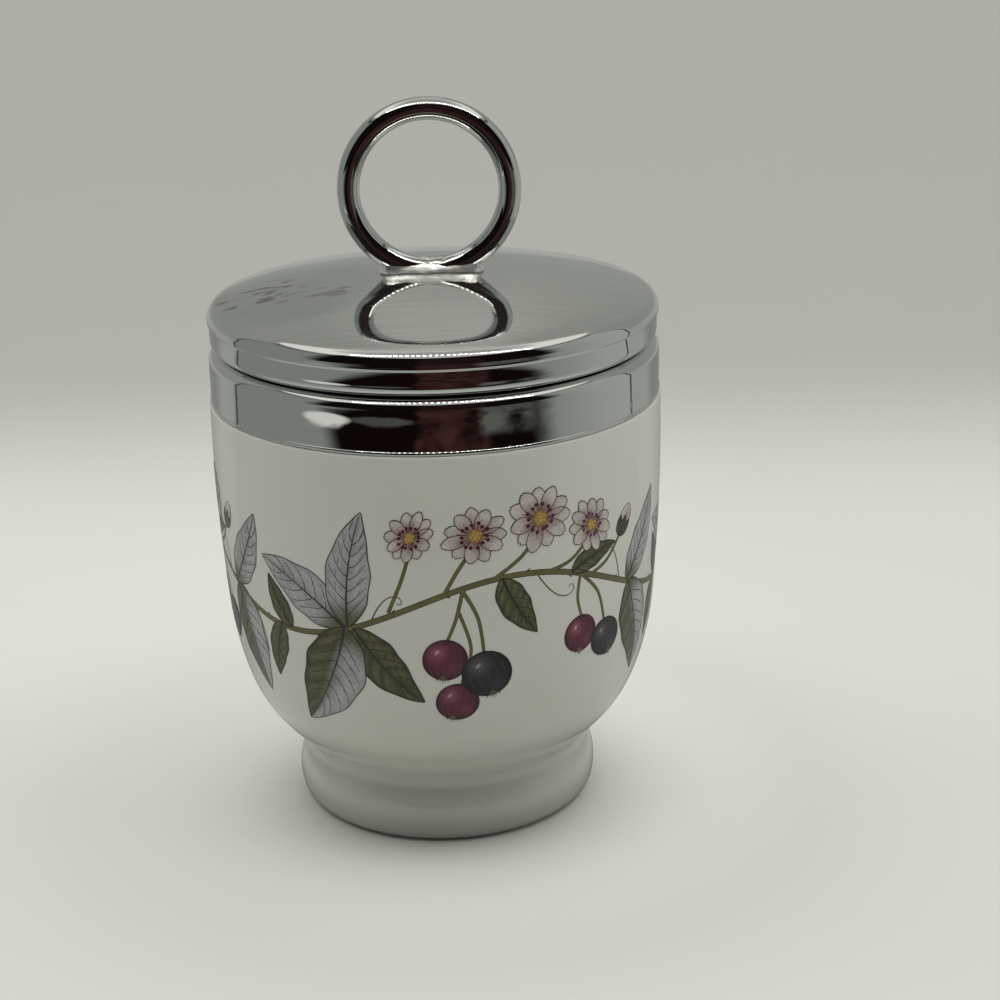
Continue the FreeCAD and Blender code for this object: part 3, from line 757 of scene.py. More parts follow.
def brush_lid(g, x, y, top, tint, rough, height):
    """The lid's top: brushed along X, greyer where it is handled, and dull in two worn patches."""
    streak = drawn_out(g, x, y, 55.0, 3400.0, 4.0, 0.7)
    broad = drawn_out(g, x, y, 14.0, 900.0, 2.0, 0.5)
    both = g.plus(g.times(streak, 0.75), g.times(broad, 0.25))
    rough = g.plus(rough, g.times(top, g.ramp(both, 0.35, 0.70, 0.02, 0.06)))
    height = g.plus(height, g.times(both, 0.16, top))
    tint = g.mix(top, tint, BRUSHED_GREY)
    tint = g.mix(g.times(top, g.ramp(both, 0.38, 0.62)), tint, BRUSHED_PALE)
    tint = g.mix(g.times(patch(g, x, y, *HANDLED_PATCH), top, 0.6), tint, HANDLED_GREY)
    slanted = g.plus(g.times(y, 430.0), g.times(x, -70.0))
    marks = g.noise(g.join(g.times(x, 210.0), slanted, 0.0), 1.0, 4.0, 0.6)
    small_worn = g.times(patch(g, x, y, *SMALL_WORN_PATCH), 0.7)
    worn = g.math("MAXIMUM", patch(g, x, y, *WORN_PATCH), small_worn)
    dull = g.times(worn, top, g.ramp(marks, 0.505, 0.585))
    tint = g.mix(g.times(dull, 0.95), tint, WORN_DARK)
    return tint, g.plus(rough, g.times(dull, 0.25)), height


def pit_collar(g, place, angle, z, rough, height):
    """Small pits in the plating, low on the collar and to the right of its front."""
    band = g.ramp(z, LEDGE + 4.6 * MM, LEDGE + 2.2 * MM)
    right_side = g.times(g.ramp(angle, -1.05, -0.85), g.ramp(angle, -0.42, -0.55))
    pitted = g.times(band, right_side)
    pit = g.ramp(g.spots(place, 1150.0)["Distance"], 0.34, 0.10)
    many = g.ramp(g.noise(place, 300.0, 2.0), 0.42, 0.58)
    height = g.minus(height, g.times(pit, many, pitted, 0.9))
    return g.plus(rough, g.times(pitted, 0.05)), height


def cover_solder(g, x, y, z, radius, tint, rough, height):
    """Lumpy solder under the plate, pale on its lumps, and dark where it meets the lid with flux residue and
    painted contact shade.
    """
    lumps = g.noise(g.join(g.times(x, 0.35), y, z), 1100.0, 3.0, 0.5)
    tint = g.mix(g.ramp(lumps, 0.34, 0.60), tint, SOLDER_PALE)
    # Flux residue and painted contact shade where the solder meets the lid.
    above_lid = g.minus(z, g.minus(LID_TOP, g.times(radius, radius, 0.5 / DOME_RADIUS)))
    tint = g.mix(g.ramp(above_lid, 0.26 * MM, 0.10 * MM), tint, SOLDER_SEAT_FLUX_AND_SHADE)
    rough = g.plus(rough, g.ramp(lumps, 0.35, 0.7, 0.15, 0.24))
    return tint, rough, g.plus(height, g.times(lumps, 0.7))


def chrome_finish(name, wear=None):
    """Chrome plate, faintly hazy and wavy. wear names the piece whose marks it also has."""
    material, g, shader = new_material(name)
    place = g.object_place()
    x, y, z = g.split(place)
    radius = reach_from_axis(g, x, y)
    haze = g.noise(place, 80.0, 5.0, 0.6)
    rough = g.ramp(haze, 0.42, 0.78, 0.012, 0.05)
    tint = g.mix(haze, CHROME_GREY, CHROME_PALE)
    height = g.plus(g.times(g.noise(place, 330.0, 2.0), 0.5), g.times(g.noise(place, 1500.0, 3.0), 0.04))
    metallic = 1.0
    bump_depth = 0.00002
    if wear == "lid":
        top = g.ramp(z, *LID_TOP_FROM)
        tint, rough, height = brush_lid(g, x, y, top, tint, rough, height)
        metallic = g.ramp(top, 0.0, 1.0, 1.0, 0.982)
    elif wear == "collar":
        rough, height = pit_collar(g, place, g.math("ARCTAN2", y, x), z, rough, height)
    elif wear == "solder":
        tint, rough, height = cover_solder(g, x, y, z, radius, tint, rough, height)
        metallic = 0.75
        bump_depth = 0.0002
    normal = g.bump(height, 0.25, bump_depth)
    if wear == "lid":
        flat = g.times(g.ramp(radius, 0.0, FLAT_REACH), FLAT_DISH)
        past = g.math("MAXIMUM", g.minus(radius, RIM_FALL_START), 0.0)
        fall = g.times(g.math("POWER", past, 3.0), RIM_FALL)
        normal = g.bump(g.minus(flat, fall), 1.0, 1.0, normal)
    g.plug(shader.inputs["Base Color"], tint)
    g.plug(shader.inputs["Metallic"], metallic)
    g.plug(shader.inputs["Roughness"], rough)
    g.plug(shader.inputs["Normal"], normal)
    return material


def enamel_finish():
    """Printed enamel, fired under a thin glaze: each slab carries its own colour, faintly stippled."""
    material, g, shader = new_material("printed_enamel")
    place = g.object_place()
    print_colour = g.node("ShaderNodeAttribute", attribute_name="enamel").outputs["Color"]
    stipple = g.ramp(g.noise(place, 3300.0, 2.0, 0.6), 0.30, 0.70, 0.80, 1.16, smooth=False)
    wash = g.ramp(g.noise(place, 420.0, 2.0), 0.3, 0.7, 0.90, 1.08)
    strength = g.times(stipple, wash)
    grey = g.join(strength, strength, strength)
    g.plug(shader.inputs["Base Color"], g.mix(1.0, print_colour, grey, "MULTIPLY"))
    g.plug(shader.inputs["Roughness"], g.ramp(stipple, 0.8, 1.16, 0.12, 0.16))
    shader.inputs["IOR"].default_value = ENAMEL_IOR
    return material


def cement_finish():
    """Grainy bonding cement."""
    material, g, shader = new_material("bonding_cement")
    grain = g.noise(g.object_place(), 1400.0, 5.0)
    g.plug(shader.inputs["Base Color"], g.mix(grain, CEMENT_BROWN, CEMENT_PALE))
    g.plug(shader.inputs["Roughness"], g.ramp(grain, 0.2, 0.8, 0.75, 0.95))
    g.plug(shader.inputs["Normal"], g.bump(grain, 0.6, 0.0001))
    return material


def thread_metal_finish():
    """Bare metal of the thread ring, with the brass showing where it is worn."""
    material, g, shader = new_material("worn_thread_metal")
    wear = g.noise(g.object_place(), 420.0, 5.0, 0.65)
    g.plug(shader.inputs["Base Color"], g.mix(g.ramp(wear, 0.45, 0.62), THREAD_GREY, THREAD_BRASS))
    g.plug(shader.inputs["Roughness"], g.ramp(wear, 0.2, 0.8, 0.18, 0.42))
    g.plug(shader.inputs["Normal"], g.bump(wear, 0.3, 0.00004))
    shader.inputs["Metallic"].default_value = 1.0
    return material


# ------------------------------------------------------------------ transfer print on the glaze
# Places on the print are (s, t) in millimetres: s runs round the cup to the right of the front,
# measured at the widest radius, and t runs up the glaze, with the height of the widest place as start.
# Lifts above the glaze are in millimetres too.
PRINT_SINK = 0.03
STEM_LIFT, LEAF_LIFT, BUD_LIFT, DAISY_LIFT, FRUIT_LIFT = 0.012, 0.022, 0.034, 0.052, 0.056
INK_STEP = 0.004
PRINT_FOOT = 12.0 * MM
LEAF_LAYER, DAISY_LAYER, FRUIT_LAYER = 0.014, 0.018, 0.012
REPEATS = 3
VINE_STEPS = 56
VINE_MIDDLE, VINE_WAVE, VINE_PHASE = 39.0, 4.6, 0.5
PETALS, STAMENS, HEART_DOTS, CROWN_SEPALS = 11, 14, 9, 5
GARLAND_SEED = 27
REPEAT = TURN * CUP_RADIUS / MM / REPEATS

# Pen widths at the start and at the end of a line, in millimetres.
VINE_EDGE_PEN, VINE_PEN, THORN_PEN = (0.86, 0.86), (0.66, 0.66), (0.34, 0.05)
STEM_EDGE, TENDRIL_PEN = 0.16, (0.22, 0.11)
LEAF_EDGE_PEN, VEIN_PEN, FORK_PEN, MIDRIB_PEN = (0.15, 0.13), (0.13, 0.07), (0.08, 0.05), (0.30, 0.09)
PETAL_PEN, FOLD_PEN, STAMEN_PEN, BUD_PEN = (0.12, 0.12), (0.09, 0.04), (0.07, 0.07), (0.11, 0.08)
CURRANT_PEN, CURRANT_RIB_PEN, CROWN_PEN = (0.12, 0.12), (0.07, 0.07), (0.26, 0.05)

INK = (0.030, 0.029, 0.020)
INK_BROWN = (0.060, 0.036, 0.030)
STEM_OLIVE = (0.150, 0.138, 0.050)
TENDRIL_OLIVE = (0.12, 0.115, 0.055)
CROWN_BROWN = (0.13, 0.10, 0.06)
LEAF_OLIVE = (0.066, 0.068, 0.028)
LEAF_DARK = (0.020, 0.022, 0.012)
LEAF_LIGHT = (0.235, 0.230, 0.125)
LEAF_GREY = (0.47, 0.48, 0.49)
LEAF_SHADE = (0.225, 0.232, 0.230)
PETAL_PALE = (0.60, 0.565, 0.535)
PETAL_MAUVE = (0.30, 0.190, 0.195)
STAMEN = (0.105, 0.022, 0.040)
HEART = (0.46, 0.31, 0.10)
HEART_DARK = (0.26, 0.14, 0.05)
HEART_DOT = (0.60, 0.45, 0.16)
FRUIT_RED = (0.105, 0.016, 0.034)
FRUIT_RED_DARK = (0.036, 0.006, 0.013)
FRUIT_RED_LIGHT = (0.30, 0.085, 0.130)
FRUIT_RED_GLINT = (0.62, 0.50, 0.54)
FRUIT_BLACK = (0.015, 0.015, 0.017)
FRUIT_BLACK_DARK = (0.005, 0.005, 0.005)
FRUIT_BLACK_LIGHT = (0.105, 0.105, 0.112)
FRUIT_BLACK_GLINT = (0.42, 0.42, 0.43)

# One repeat of the garland. Angles are in degrees, and each row starts at its (s, t).
# A thorn is a place s on the vine and the side that it is on.
THORNS = ((-27.0, 1), (-17.5, -1), (-6.0, 1), (1.5, -1), (12.5, 1), (19.0, -1), (28.0, 1))

# A stem is the points that it passes, then its width at the start and at the end.
STEMS = (
    ((1.0, 41.5), (3.0, 45.0), (5.2, 48.2), (0.42, 0.34)),
    ((8.0, 43.5), (11.8, 46.2), (14.3, 49.4), (0.42, 0.34)),
    ((15.5, 43.2), (19.4, 44.2), (22.6, 47.0), (0.40, 0.32)),
    ((-6.5, 39.0), (-4.6, 43.5), (-3.3, 47.5), (0.38, 0.30)),
    ((23.0, 41.2), (26.0, 42.4), (28.6, 45.2), (0.38, 0.28)),
    ((3.6, 42.1), (2.6, 38.0), (1.4, 35.0), (0.40, 0.30)),
    ((3.6, 42.1), (5.6, 38.0), (6.4, 32.8), (0.40, 0.30)),
    ((2.9, 39.4), (4.6, 33.5), (3.2, 28.4), (0.34, 0.28)),
    ((21.0, 41.8), (20.6, 38.4), (21.4, 35.4), (0.36, 0.28)),
    ((21.0, 41.8), (24.4, 38.2), (26.0, 33.6), (0.36, 0.28)),
)

# Tendrils: angle, length, and the side that it curls to.
TENDRILS = (
    (-30.0, 35.6, -62.0, 13.0, -1.0), (14.0, 43.2, -58.0, 11.0, 1.0),
    (-9.0, 37.6, 66.0, 9.0, -1.0), (29.0, 38.6, 100.0, 12.0, 1.0),
)

# Leaves: angle, length, width, bend, kind and layer.
LEAVES = (
    (-13.0, 36.2, 150.0, 16.0, 6.6, 26.0, "grey", 0),
    (-12.5, 36.4, 80.0, 17.0, 6.4, -22.0, "grey", 1),
    (-11.6, 36.3, -50.0, 14.0, 6.0, 20.0, "olive", 0),
    (-13.0, 36.2, -116.0, 18.0, 9.0, -26.0, "both", 1),
    (9.0, 43.4, -60.0, 10.0, 4.2, 20.0, "olive", 0),
    (31.0, 37.8, 58.0, 14.0, 5.6, 22.0, "grey", 0),
    (31.5, 37.6, -74.0, 16.0, 7.4, -20.0, "both", 1),
    (-24.0, 34.8, -104.0, 9.0, 3.6, 16.0, "olive", 0),
    (19.5, 42.3, 16.0, 8.5, 3.2, -24.0, "olive", 0),
    (-22.0, 34.6, 118.0, 8.0, 3.2, -20.0, "olive", 2),
)

# Daisies: radius, how far it is squashed, the way that it is squashed, in radians, and layer.
DAISIES = (
    (5.4, 49.8, 4.5, 0.92, 0.3, 0), (14.4, 51.1, 4.8, 0.97, 1.2, 1),
    (22.8, 48.4, 4.2, 0.85, 2.2, 0), (-3.2, 49.8, 3.9, 0.80, 1.0, 1),
)

# The bud: angle and size.
BUD = (28.6, 45.2, 58.0, 4.6)

# Currants: radius, whether it is black, the angle that it hangs at, and layer.
CURRANTS = (
    (1.0, 32.1, 3.0, False, 262.0, 0), (6.8, 29.6, 3.4, True, 285.0, 1),
    (2.6, 25.5, 2.9, False, 255.0, 0), (21.4, 32.8, 2.7, False, 270.0, 0),
    (26.5, 30.9, 2.8, True, 290.0, 1),
)


def glaze_table():
    """The printed part of the cup's outside, edge by edge: t at its start, its two ends, its length."""
    table = []
    run = 0.0
    for (r0, z0), (r1, z1) in zip(OUTSIDE, OUTSIDE[1:]):
        if z0 >= PRINT_FOOT:
            table.append((run, r0, z0, r1, z1, math.hypot(r1 - r0, z1 - z0)))
            run += table[-1][-1]
    start = next(row[0] + WIDEST_HEIGHT - row[2] for row in table if row[2] <= WIDEST_HEIGHT < row[4])
    return [((row[0] - start + WIDEST_HEIGHT) / MM, *row[1:]) for row in table]


GLAZE_TABLE = glaze_table()
GLAZE_STARTS = [row[0] for row in GLAZE_TABLE]


def glaze_section(t):
    """Radius, height and outward direction of the glaze at t."""
    row = GLAZE_TABLE[max(0, bisect.bisect_right(GLAZE_STARTS, t) - 1)]
    share = (t - row[0]) * MM / row[5]
    tangent = ((row[3] - row[1]) / row[5], (row[4] - row[2]) / row[5])
    return row[1] + (row[3] - row[1]) * share, row[2] + (row[4] - row[2]) * share, (tangent[1], -tangent[0])


def on_glaze(s, t, lift):
    """The place in space of a point of the print that is lifted off the glaze."""
    radius, height, out = glaze_section(t)
    radius += out[0] * lift * MM
    angle = s * MM / CUP_RADIUS
    return (radius * math.sin(angle), -radius * math.cos(angle), height + out[1] * lift * MM)


def blend_colour(first, second, share):
    share = min(max(share, 0.0), 1.0)
    return tuple(a + (b - a) * share for a, b in zip(first, second))


class Transfer:
    """One colour group of the print: thin closed slabs of enamel that stand in the glaze."""

    def __init__(self, name):
        self.name = name
        self.vertices, self.faces, self.colours = [], [], []

    def slab(self, points, faces, colours, lift):
        """A closed slab over flat faces: its top at the lift, its underside sunk in the glaze, its edges."""
        base, count = len(self.vertices), len(points)
        self.vertices += [on_glaze(s, t, lift) for s, t in points]
        self.vertices += [on_glaze(s, t, -PRINT_SINK) for s, t in points]
        self.colours += list(colours) * 2
        edges = set()
        for face in faces:
            area = sum(points[a][0] * points[b][1] - points[b][0] * points[a][1]
                       for a, b in zip(face, face[1:] + face[:1]))
            face = face if area > 0.0 else face[::-1]
            self.faces.append([base + i for i in face])
            self.faces.append([base + count + i for i in face[::-1]])
            edges.update(zip(face, face[1:] + face[:1]))
        for a, b in edges:
            if (b, a) not in edges:
                self.faces.append([base + b, base + a, base + count + a, base + count + b])

    def grid(self, rows, colours, lift):
        """A patch from rows of points, with a colour for each point."""
        across = len(rows[0])
        faces = [[i * across + j, i * across + j + 1, (i + 1) * across + j + 1, (i + 1) * across + j]
                 for i in range(len(rows) - 1) for j in range(across - 1)]
        self.slab([p for row in rows for p in row], faces, [c for row in colours for c in row], lift)

    def stroke(self, path, widths, colour, lift):
        """A pen line along a path, with its width given at the start and the end."""
        rows, colours = [], []
        count = len(path) - 1
        for k, (s, t) in enumerate(path):
            before, after = path[max(k - 1, 0)], path[min(k + 1, count)]
            ds, dt = after[0] - before[0], after[1] - before[1]
            length = math.hypot(ds, dt) or 1.0
            half = (widths[0] + (widths[1] - widths[0]) * k / count) / 2.0
            rows.append([(s + dt / length * half, t - ds / length * half),
                         (s - dt / length * half, t + ds / length * half)])
            colours.append([colour, colour])
        self.grid(rows, colours, lift)

    def disc(self, spot, radius, shade, lift, rings=4, around=20):
        """A round patch. shade gives the colour at (share of the radius, angle)."""
        points, colours, faces = [spot(0.0, 0.0)], [shade(0.0, 0.0)], []
        for ring in range(1, rings + 1):
            for k in range(around):
                angle = TURN * k / around
                reach = radius * ring / rings
                points.append(spot(reach * math.cos(angle), reach * math.sin(angle)))
                colours.append(shade(ring / rings, angle))
        for k in range(around):
            n = (k + 1) % around
            faces.append([0, 1 + k, 1 + n])
            for ring in range(rings - 1):
                inner, outer = 1 + ring * around, 1 + (ring + 1) * around
                faces.append([inner + k, outer + k, outer + n, inner + n])
        self.slab(points, faces, colours, lift)

    def fix(self, material):
        """Make the slabs one piece, with their colours as its enamel attribute."""
        mesh = new_mesh(self.name, self.vertices, self.faces)
        paint = mesh.color_attributes.new("enamel", "FLOAT_COLOR", "POINT")
        for item, colour in zip(paint.data, self.colours):
            item.color = (*colour, 1.0)
        piece = finish_piece(self.name, mesh, "cup", (), PRINT_SHARP)
        dress(piece, material)


def spot_at(s, t, turn=0.0, squash=1.0, squash_turn=0.0):
    """Maps (x, y) of a motif about its own middle to the print, true to shape on the curved glaze."""
    cos_t, sin_t = math.cos(turn), math.sin(turn)
    cos_q, sin_q = math.cos(squash_turn), math.sin(squash_turn)

    def spot(x, y):
        along, aside = x * cos_q + y * sin_q, (y * cos_q - x * sin_q) * squash
        x, y = along * cos_q - aside * sin_q, along * sin_q + aside * cos_q
        up = t + x * sin_t + y * cos_t
        return s + (x * cos_t - y * sin_t) * CUP_RADIUS / glaze_section(up)[0], up
    return spot


def smooth_path(points, step=0.7):
    """A smooth curve through the points, with places about a step apart."""
    ends = [points[0]] + list(points) + [points[-1]]
    path = [points[0]]
    for a, b, c, d in zip(ends, ends[1:], ends[2:], ends[3:]):
        count = max(2, math.ceil(math.hypot(c[0] - b[0], c[1] - b[1]) / step))
        for k in range(1, count + 1):
            u = k / count
            path.append(tuple(
                0.5 * (2 * b[i] + (c[i] - a[i]) * u + (2 * a[i] - 5 * b[i] + 4 * c[i] - d[i]) * u * u
                       + (3 * b[i] - a[i] - 3 * c[i] + d[i]) * u ** 3) for i in (0, 1)))
    return path


def draw_stem(stems, points, widths):
    """Olive stem with an inked edge."""
    path = smooth_path(points)
    stems.stroke(path, [w + STEM_EDGE for w in widths], INK, STEM_LIFT)
    stems.stroke(path, widths, STEM_OLIVE, STEM_LIFT + INK_STEP)


def draw_leaf(leaves, rng, s, t, angle, length, width, bend, kind, layer):
    """Lance leaf with a midrib, paired side veins and an inked edge."""
    angle, bend = math.radians(angle), math.radians(bend)
    spot = spot_at(s, t)
    rows_count = max(10, int(length * 1.3))
    half_columns = 4
    fine = 60
    spine, heading = [(0.0, 0.0)], [angle - bend * 0.5]
    for k in range(fine):
        turn = angle - bend * 0.5 + bend * (k + 0.5) / fine
        x, y = spine[-1]
        spine.append((x + length / fine * math.cos(turn), y + length / fine * math.sin(turn)))
        heading.append(turn)
    wave = rng.uniform(0.0, 6.0)

    def edge(share):
        form = math.sin(math.pi * share ** 0.74) ** 0.86 if 0.0 < share < 1.0 else 0.0
        return width / 2.0 * form * (1.0 + 0.035 * math.sin(share * 21.0 + wave)) + 0.03

    def place(share, side):
        index = min(max(share, 0.0), 1.0) * fine
        k = min(int(index), fine - 1)
        x = spine[k][0] + (spine[k + 1][0] - spine[k][0]) * (index - k)
        y = spine[k][1] + (spine[k + 1][1] - spine[k][1]) * (index - k)
        turn, reach = heading[k], edge(share) * side
        return spot(x - math.sin(turn) * reach, y + math.cos(turn) * reach)

    def tone(share, side):
        near_rib = 1.0 - min(1.0, abs(side) * 2.2)
        near_edge = max(0.0, abs(side) - 0.72) / 0.28
        stripe = 0.5 + 0.5 * math.sin((share * 1.9 - abs(side) * 0.42) * 19.0 + wave)
        grey = blend_colour(LEAF_GREY, LEAF_SHADE, 0.55 * near_rib + 0.35 * near_edge + 0.22 * stripe)
        olive = blend_colour(LEAF_OLIVE, LEAF_LIGHT, 0.55 * stripe * (1.0 - near_edge) * (1.0 - near_rib))
        olive = blend_colour(olive, LEAF_DARK, 0.55 * near_edge + 0.45 * share ** 3)
        if kind == "olive":
            return olive
        foot = blend_colour(grey, olive, (0.24 - share) * 6.0)
        if kind == "grey":
            return foot
        return blend_colour(foot, olive, 0.5 - side * 4.0 + (share - 0.5) * 1.2)

    sides = [j / half_columns for j in range(-half_columns, half_columns + 1)]
    shares = [k / rows_count for k in range(rows_count + 1)]
    lift = LEAF_LIFT + LEAF_LAYER * layer
    leaves.grid([[place(share, side) for side in sides] for share in shares],
                [[tone(share, side) for side in sides] for share in shares], lift)
    line = lift + INK_STEP
    for side in (-1.0, 1.0):
        leaves.stroke([place(share / 40.0, side) for share in range(41)], LEAF_EDGE_PEN, INK, line)
        pairs = max(4, int(length / 2.3))
        for k in range(pairs):
            start = 0.10 + 0.72 * (k + (0.25 if side > 0 else 0.0)) / pairs
            reach = 0.80 + 0.12 * rng.random()
            run = 0.15 + 0.04 * rng.random()
            path = [place(start + run * (u / 7.0) ** 1.25, side * reach * (u / 7.0) ** 0.85)
                    for u in range(8)]
            leaves.stroke(path, VEIN_PEN, INK, line)
            if width > 5.0:
                fork = [place(start + run * (0.5 + u * 0.09), side * reach * (0.55 + u * 0.055))
                        for u in range(4)]
                fork = [(p[0] + 0.10 * u, p[1] + 0.13 * u) for u, p in enumerate(fork)]
                leaves.stroke(fork, FORK_PEN, INK, line)
    rib = LEAF_DARK if kind == "olive" else INK
    midrib = [place(share / 30.0 * 0.97, 0.0) for share in range(31)]
    leaves.stroke(midrib, MIDRIB_PEN, rib, line + 0.002)


def draw_daisy(flowers, rng, s, t, radius, turn, squash, squash_turn, layer):
    """Daisy with pale petals, a ring of stamens and a yellow heart."""
    spot = spot_at(s, t, 0.0, squash, squash_turn)
    base_lift = DAISY_LIFT + DAISY_LAYER * layer
    for k in range(PETALS):
        angle = turn + TURN * (k + rng.uniform(-0.10, 0.10)) / PETALS
        reach = radius * rng.uniform(0.90, 1.04)
        half = radius * rng.uniform(0.215, 0.245)
        lift = base_lift + 0.003 * (k % 2)
        notch = rng.uniform(0.0, 0.10)

        def petal_point(share, side):
            form = math.sin(math.pi * (0.08 + 0.92 * share) ** 1.35) ** 0.55 if share < 1.0 else 0.18
            along = radius * 0.14 + (reach - radius * 0.14) * share
            along -= notch * radius * max(0.0, share - 0.8) * 3.0 * (1.0 - abs(side))
            wide = half * form * side
            return spot(along * math.cos(angle) - wide * math.sin(angle),
                        along * math.sin(angle) + wide * math.cos(angle))

        shares = [u / 8.0 for u in range(9)]
        sides = (-1.0, -0.5, 0.0, 0.5, 1.0)
        flowers.grid(
            [[petal_point(share, side) for side in sides] for share in shares],
            [[blend_colour(PETAL_MAUVE, PETAL_PALE, share * 1.7 - 0.15 - 0.35 * max(0.0, side))
              for side in sides] for share in shares], lift)
        rim = ([petal_point(share, -1.0) for share in shares] + [petal_point(1.0, 0.0)]
               + [petal_point(share, 1.0) for share in reversed(shares)])
        flowers.stroke(rim, PETAL_PEN, INK_BROWN, lift + 0.0015)
        fold = [petal_point(0.15 + 0.08 * u, 0.15) for u in range(6)]
        flowers.stroke(fold, FOLD_PEN, INK_BROWN, lift + 0.0015)
    heart = base_lift + 0.008
    for k in range(STAMENS):
        angle = TURN * (k + rng.uniform(-0.2, 0.2)) / STAMENS
        reach = radius * rng.uniform(0.34, 0.44)
        x, y = reach * math.cos(angle), reach * math.sin(angle)
        flowers.stroke([spot(x * u / 3.0, y * u / 3.0) for u in range(1, 4)], STAMEN_PEN, STAMEN, heart)
        middle = spot(x, y)
        flowers.disc(spot_at(*middle), radius * 0.062, lambda share, a: STAMEN, heart + 0.002, 1, 8)
    flowers.disc(spot_at(*spot(0.0, 0.0), 0.0, squash, squash_turn), radius * 0.24,
                 lambda share, a: blend_colour(HEART, HEART_DARK, share ** 2), heart + 0.003, 3, 16)
    for k in range(HEART_DOTS):
        angle, reach = k * 2.4, radius * 0.062 * math.sqrt(k + 0.3)
        middle = spot(reach * math.cos(angle), reach * math.sin(angle))
        flowers.disc(spot_at(*middle), radius * 0.030, lambda share, a: HEART_DOT, heart + 0.005, 1, 6)


def draw_fruit(fruit, s, t, radius, dark, hang, layer):
    """Round currant with a bright spot, thin ribs and a dry crown where the flower was."""
    body, deep, light, glint = FRUIT_RED, FRUIT_RED_DARK, FRUIT_RED_LIGHT, FRUIT_RED_GLINT
    if dark:
        body, deep, light, glint = FRUIT_BLACK, FRUIT_BLACK_DARK, FRUIT_BLACK_LIGHT, FRUIT_BLACK_GLINT
    spot = spot_at(s, t)
    lift = FRUIT_LIFT + FRUIT_LAYER * layer

    def shade(share, angle):
        x, y = share * math.cos(angle), share * math.sin(angle)
        lit = math.exp(-((x + 0.34) ** 2 + (y - 0.38) ** 2) / 0.14)
        bounce = math.exp(-((x - 0.42) ** 2 + (y + 0.50) ** 2) / 0.10)
        rim = max(0.0, share - 0.62) / 0.38
        colour = blend_colour(body, deep, rim * 0.8 + 0.25 * max(0.0, x - y))
        return blend_colour(blend_colour(colour, light, 0.30 * bounce), light, lit)

    fruit.disc(spot, radius, shade, lift, 8, 36)
    edge = [spot(radius * math.cos(TURN * k / 36.0), radius * math.sin(TURN * k / 36.0)) for k in range(37)]
    fruit.stroke(edge, CURRANT_PEN, deep, lift + 0.003)
    cos_h, sin_h = math.cos(math.radians(hang)), math.sin(math.radians(hang))
    for bulge in (-0.72, -0.38, 0.0, 0.38, 0.72):
        path = []
        for u in range(1, 16):
            along = -1.0 + 2.0 * u / 16.0
            aside = bulge * math.sqrt(1.0 - along * along)
            path.append(spot(radius * (along * cos_h - aside * sin_h),
                             radius * (along * sin_h + aside * cos_h)))
        fruit.stroke(path, CURRANT_RIB_PEN, blend_colour(body, light, 0.38), lift + 0.003)
    fruit.disc(spot_at(*spot(-0.36 * radius, 0.40 * radius), 0.9, 0.55), radius * 0.17,
               lambda share, a: blend_colour(glint, light, share), lift + 0.006, 3, 14)
    crown = spot_at(*spot(radius * 0.80 * cos_h, radius * 0.80 * sin_h))
    for k in range(CROWN_SEPALS):
        angle = math.radians(hang) + (k - CROWN_SEPALS // 2) * 0.42
        length = radius * (0.40 if k % 2 == 0 else 0.32)
        sepal = [crown(length * u / 3.0 * math.cos(angle), length * u / 3.0 * math.sin(angle))
                 for u in range(4)]
        fruit.stroke(sepal, CROWN_PEN, CROWN_BROWN, lift + 0.006)


def draw_bud(leaves, flowers, rng, s, t, angle, size):
    """Closed bud: a pink tip in three green sepals."""
    heading = math.radians(angle)
    spot = spot_at(s, t, heading)
    shares = [u / 8.0 for u in range(9)]
    sides = (-1.0, -0.5, 0.0, 0.5, 1.0)

    def tip(share, side):
        wide = size * 0.27 * side * math.sin(math.pi * (0.12 + 0.86 * share)) ** 0.7
        return spot(size * (0.25 + 0.75 * share), wide)

    flowers.grid([[tip(share, side) for side in sides] for share in shares],
                 [[blend_colour(PETAL_MAUVE, PETAL_PALE, share * 1.3 + 0.3 * side) for side in sides]
                  for share in shares], BUD_LIFT)
    for side in (-1.0, 0.0, 1.0):
        flowers.stroke([tip(share, side) for share in shares], BUD_PEN, INK_BROWN, BUD_LIFT + INK_STEP)
    for lean in (-24.0, 24.0, 0.0):
        draw_leaf(leaves, rng, s, t, angle + lean, size * 0.62, size * 0.26, -lean, "olive", 1 if lean else 2)


def draw_tendril(stems, s, t, angle, length, curl):
    """Fine tendril that runs out and winds up."""
    x, y, turn = 0.0, 0.0, math.radians(angle)
    spot = spot_at(s, t)
    path = [spot(0.0, 0.0)]
    steps = 46
    for k in range(steps):
        share = k / steps
        turn += curl * (0.012 + 0.40 * share ** 2.2)
        step = length / steps * (1.35 - share)
        x, y = x + step * math.cos(turn), y + step * math.sin(turn)
        path.append(spot(x, y))
    stems.stroke(path, TENDRIL_PEN, TENDRIL_OLIVE, STEM_LIFT)


def vine_height(s):
    """Height t of the waving vine, at a place s of its repeat."""
    return VINE_MIDDLE + VINE_WAVE * math.sin(TURN * s / REPEAT + VINE_PHASE)


def draw_vine(stems, s0):
    """The vine of one repeat, with its thorns."""
    runs = [REPEAT * (k / VINE_STEPS - 0.5) for k in range(VINE_STEPS + 1)]
    vine = [(s0 + run, vine_height(run)) for run in runs]
    stems.stroke(vine, VINE_EDGE_PEN, INK, STEM_LIFT)
    stems.stroke(vine, VINE_PEN, STEM_OLIVE, STEM_LIFT + INK_STEP)
    for s, side in THORNS:
        thorn = [(s0 + s + 0.25 * u, vine_height(s + 0.25 * u) + side * (0.30 + 0.22 * u))
                 for u in range(3)]
        stems.stroke(thorn, THORN_PEN, INK, STEM_LIFT)


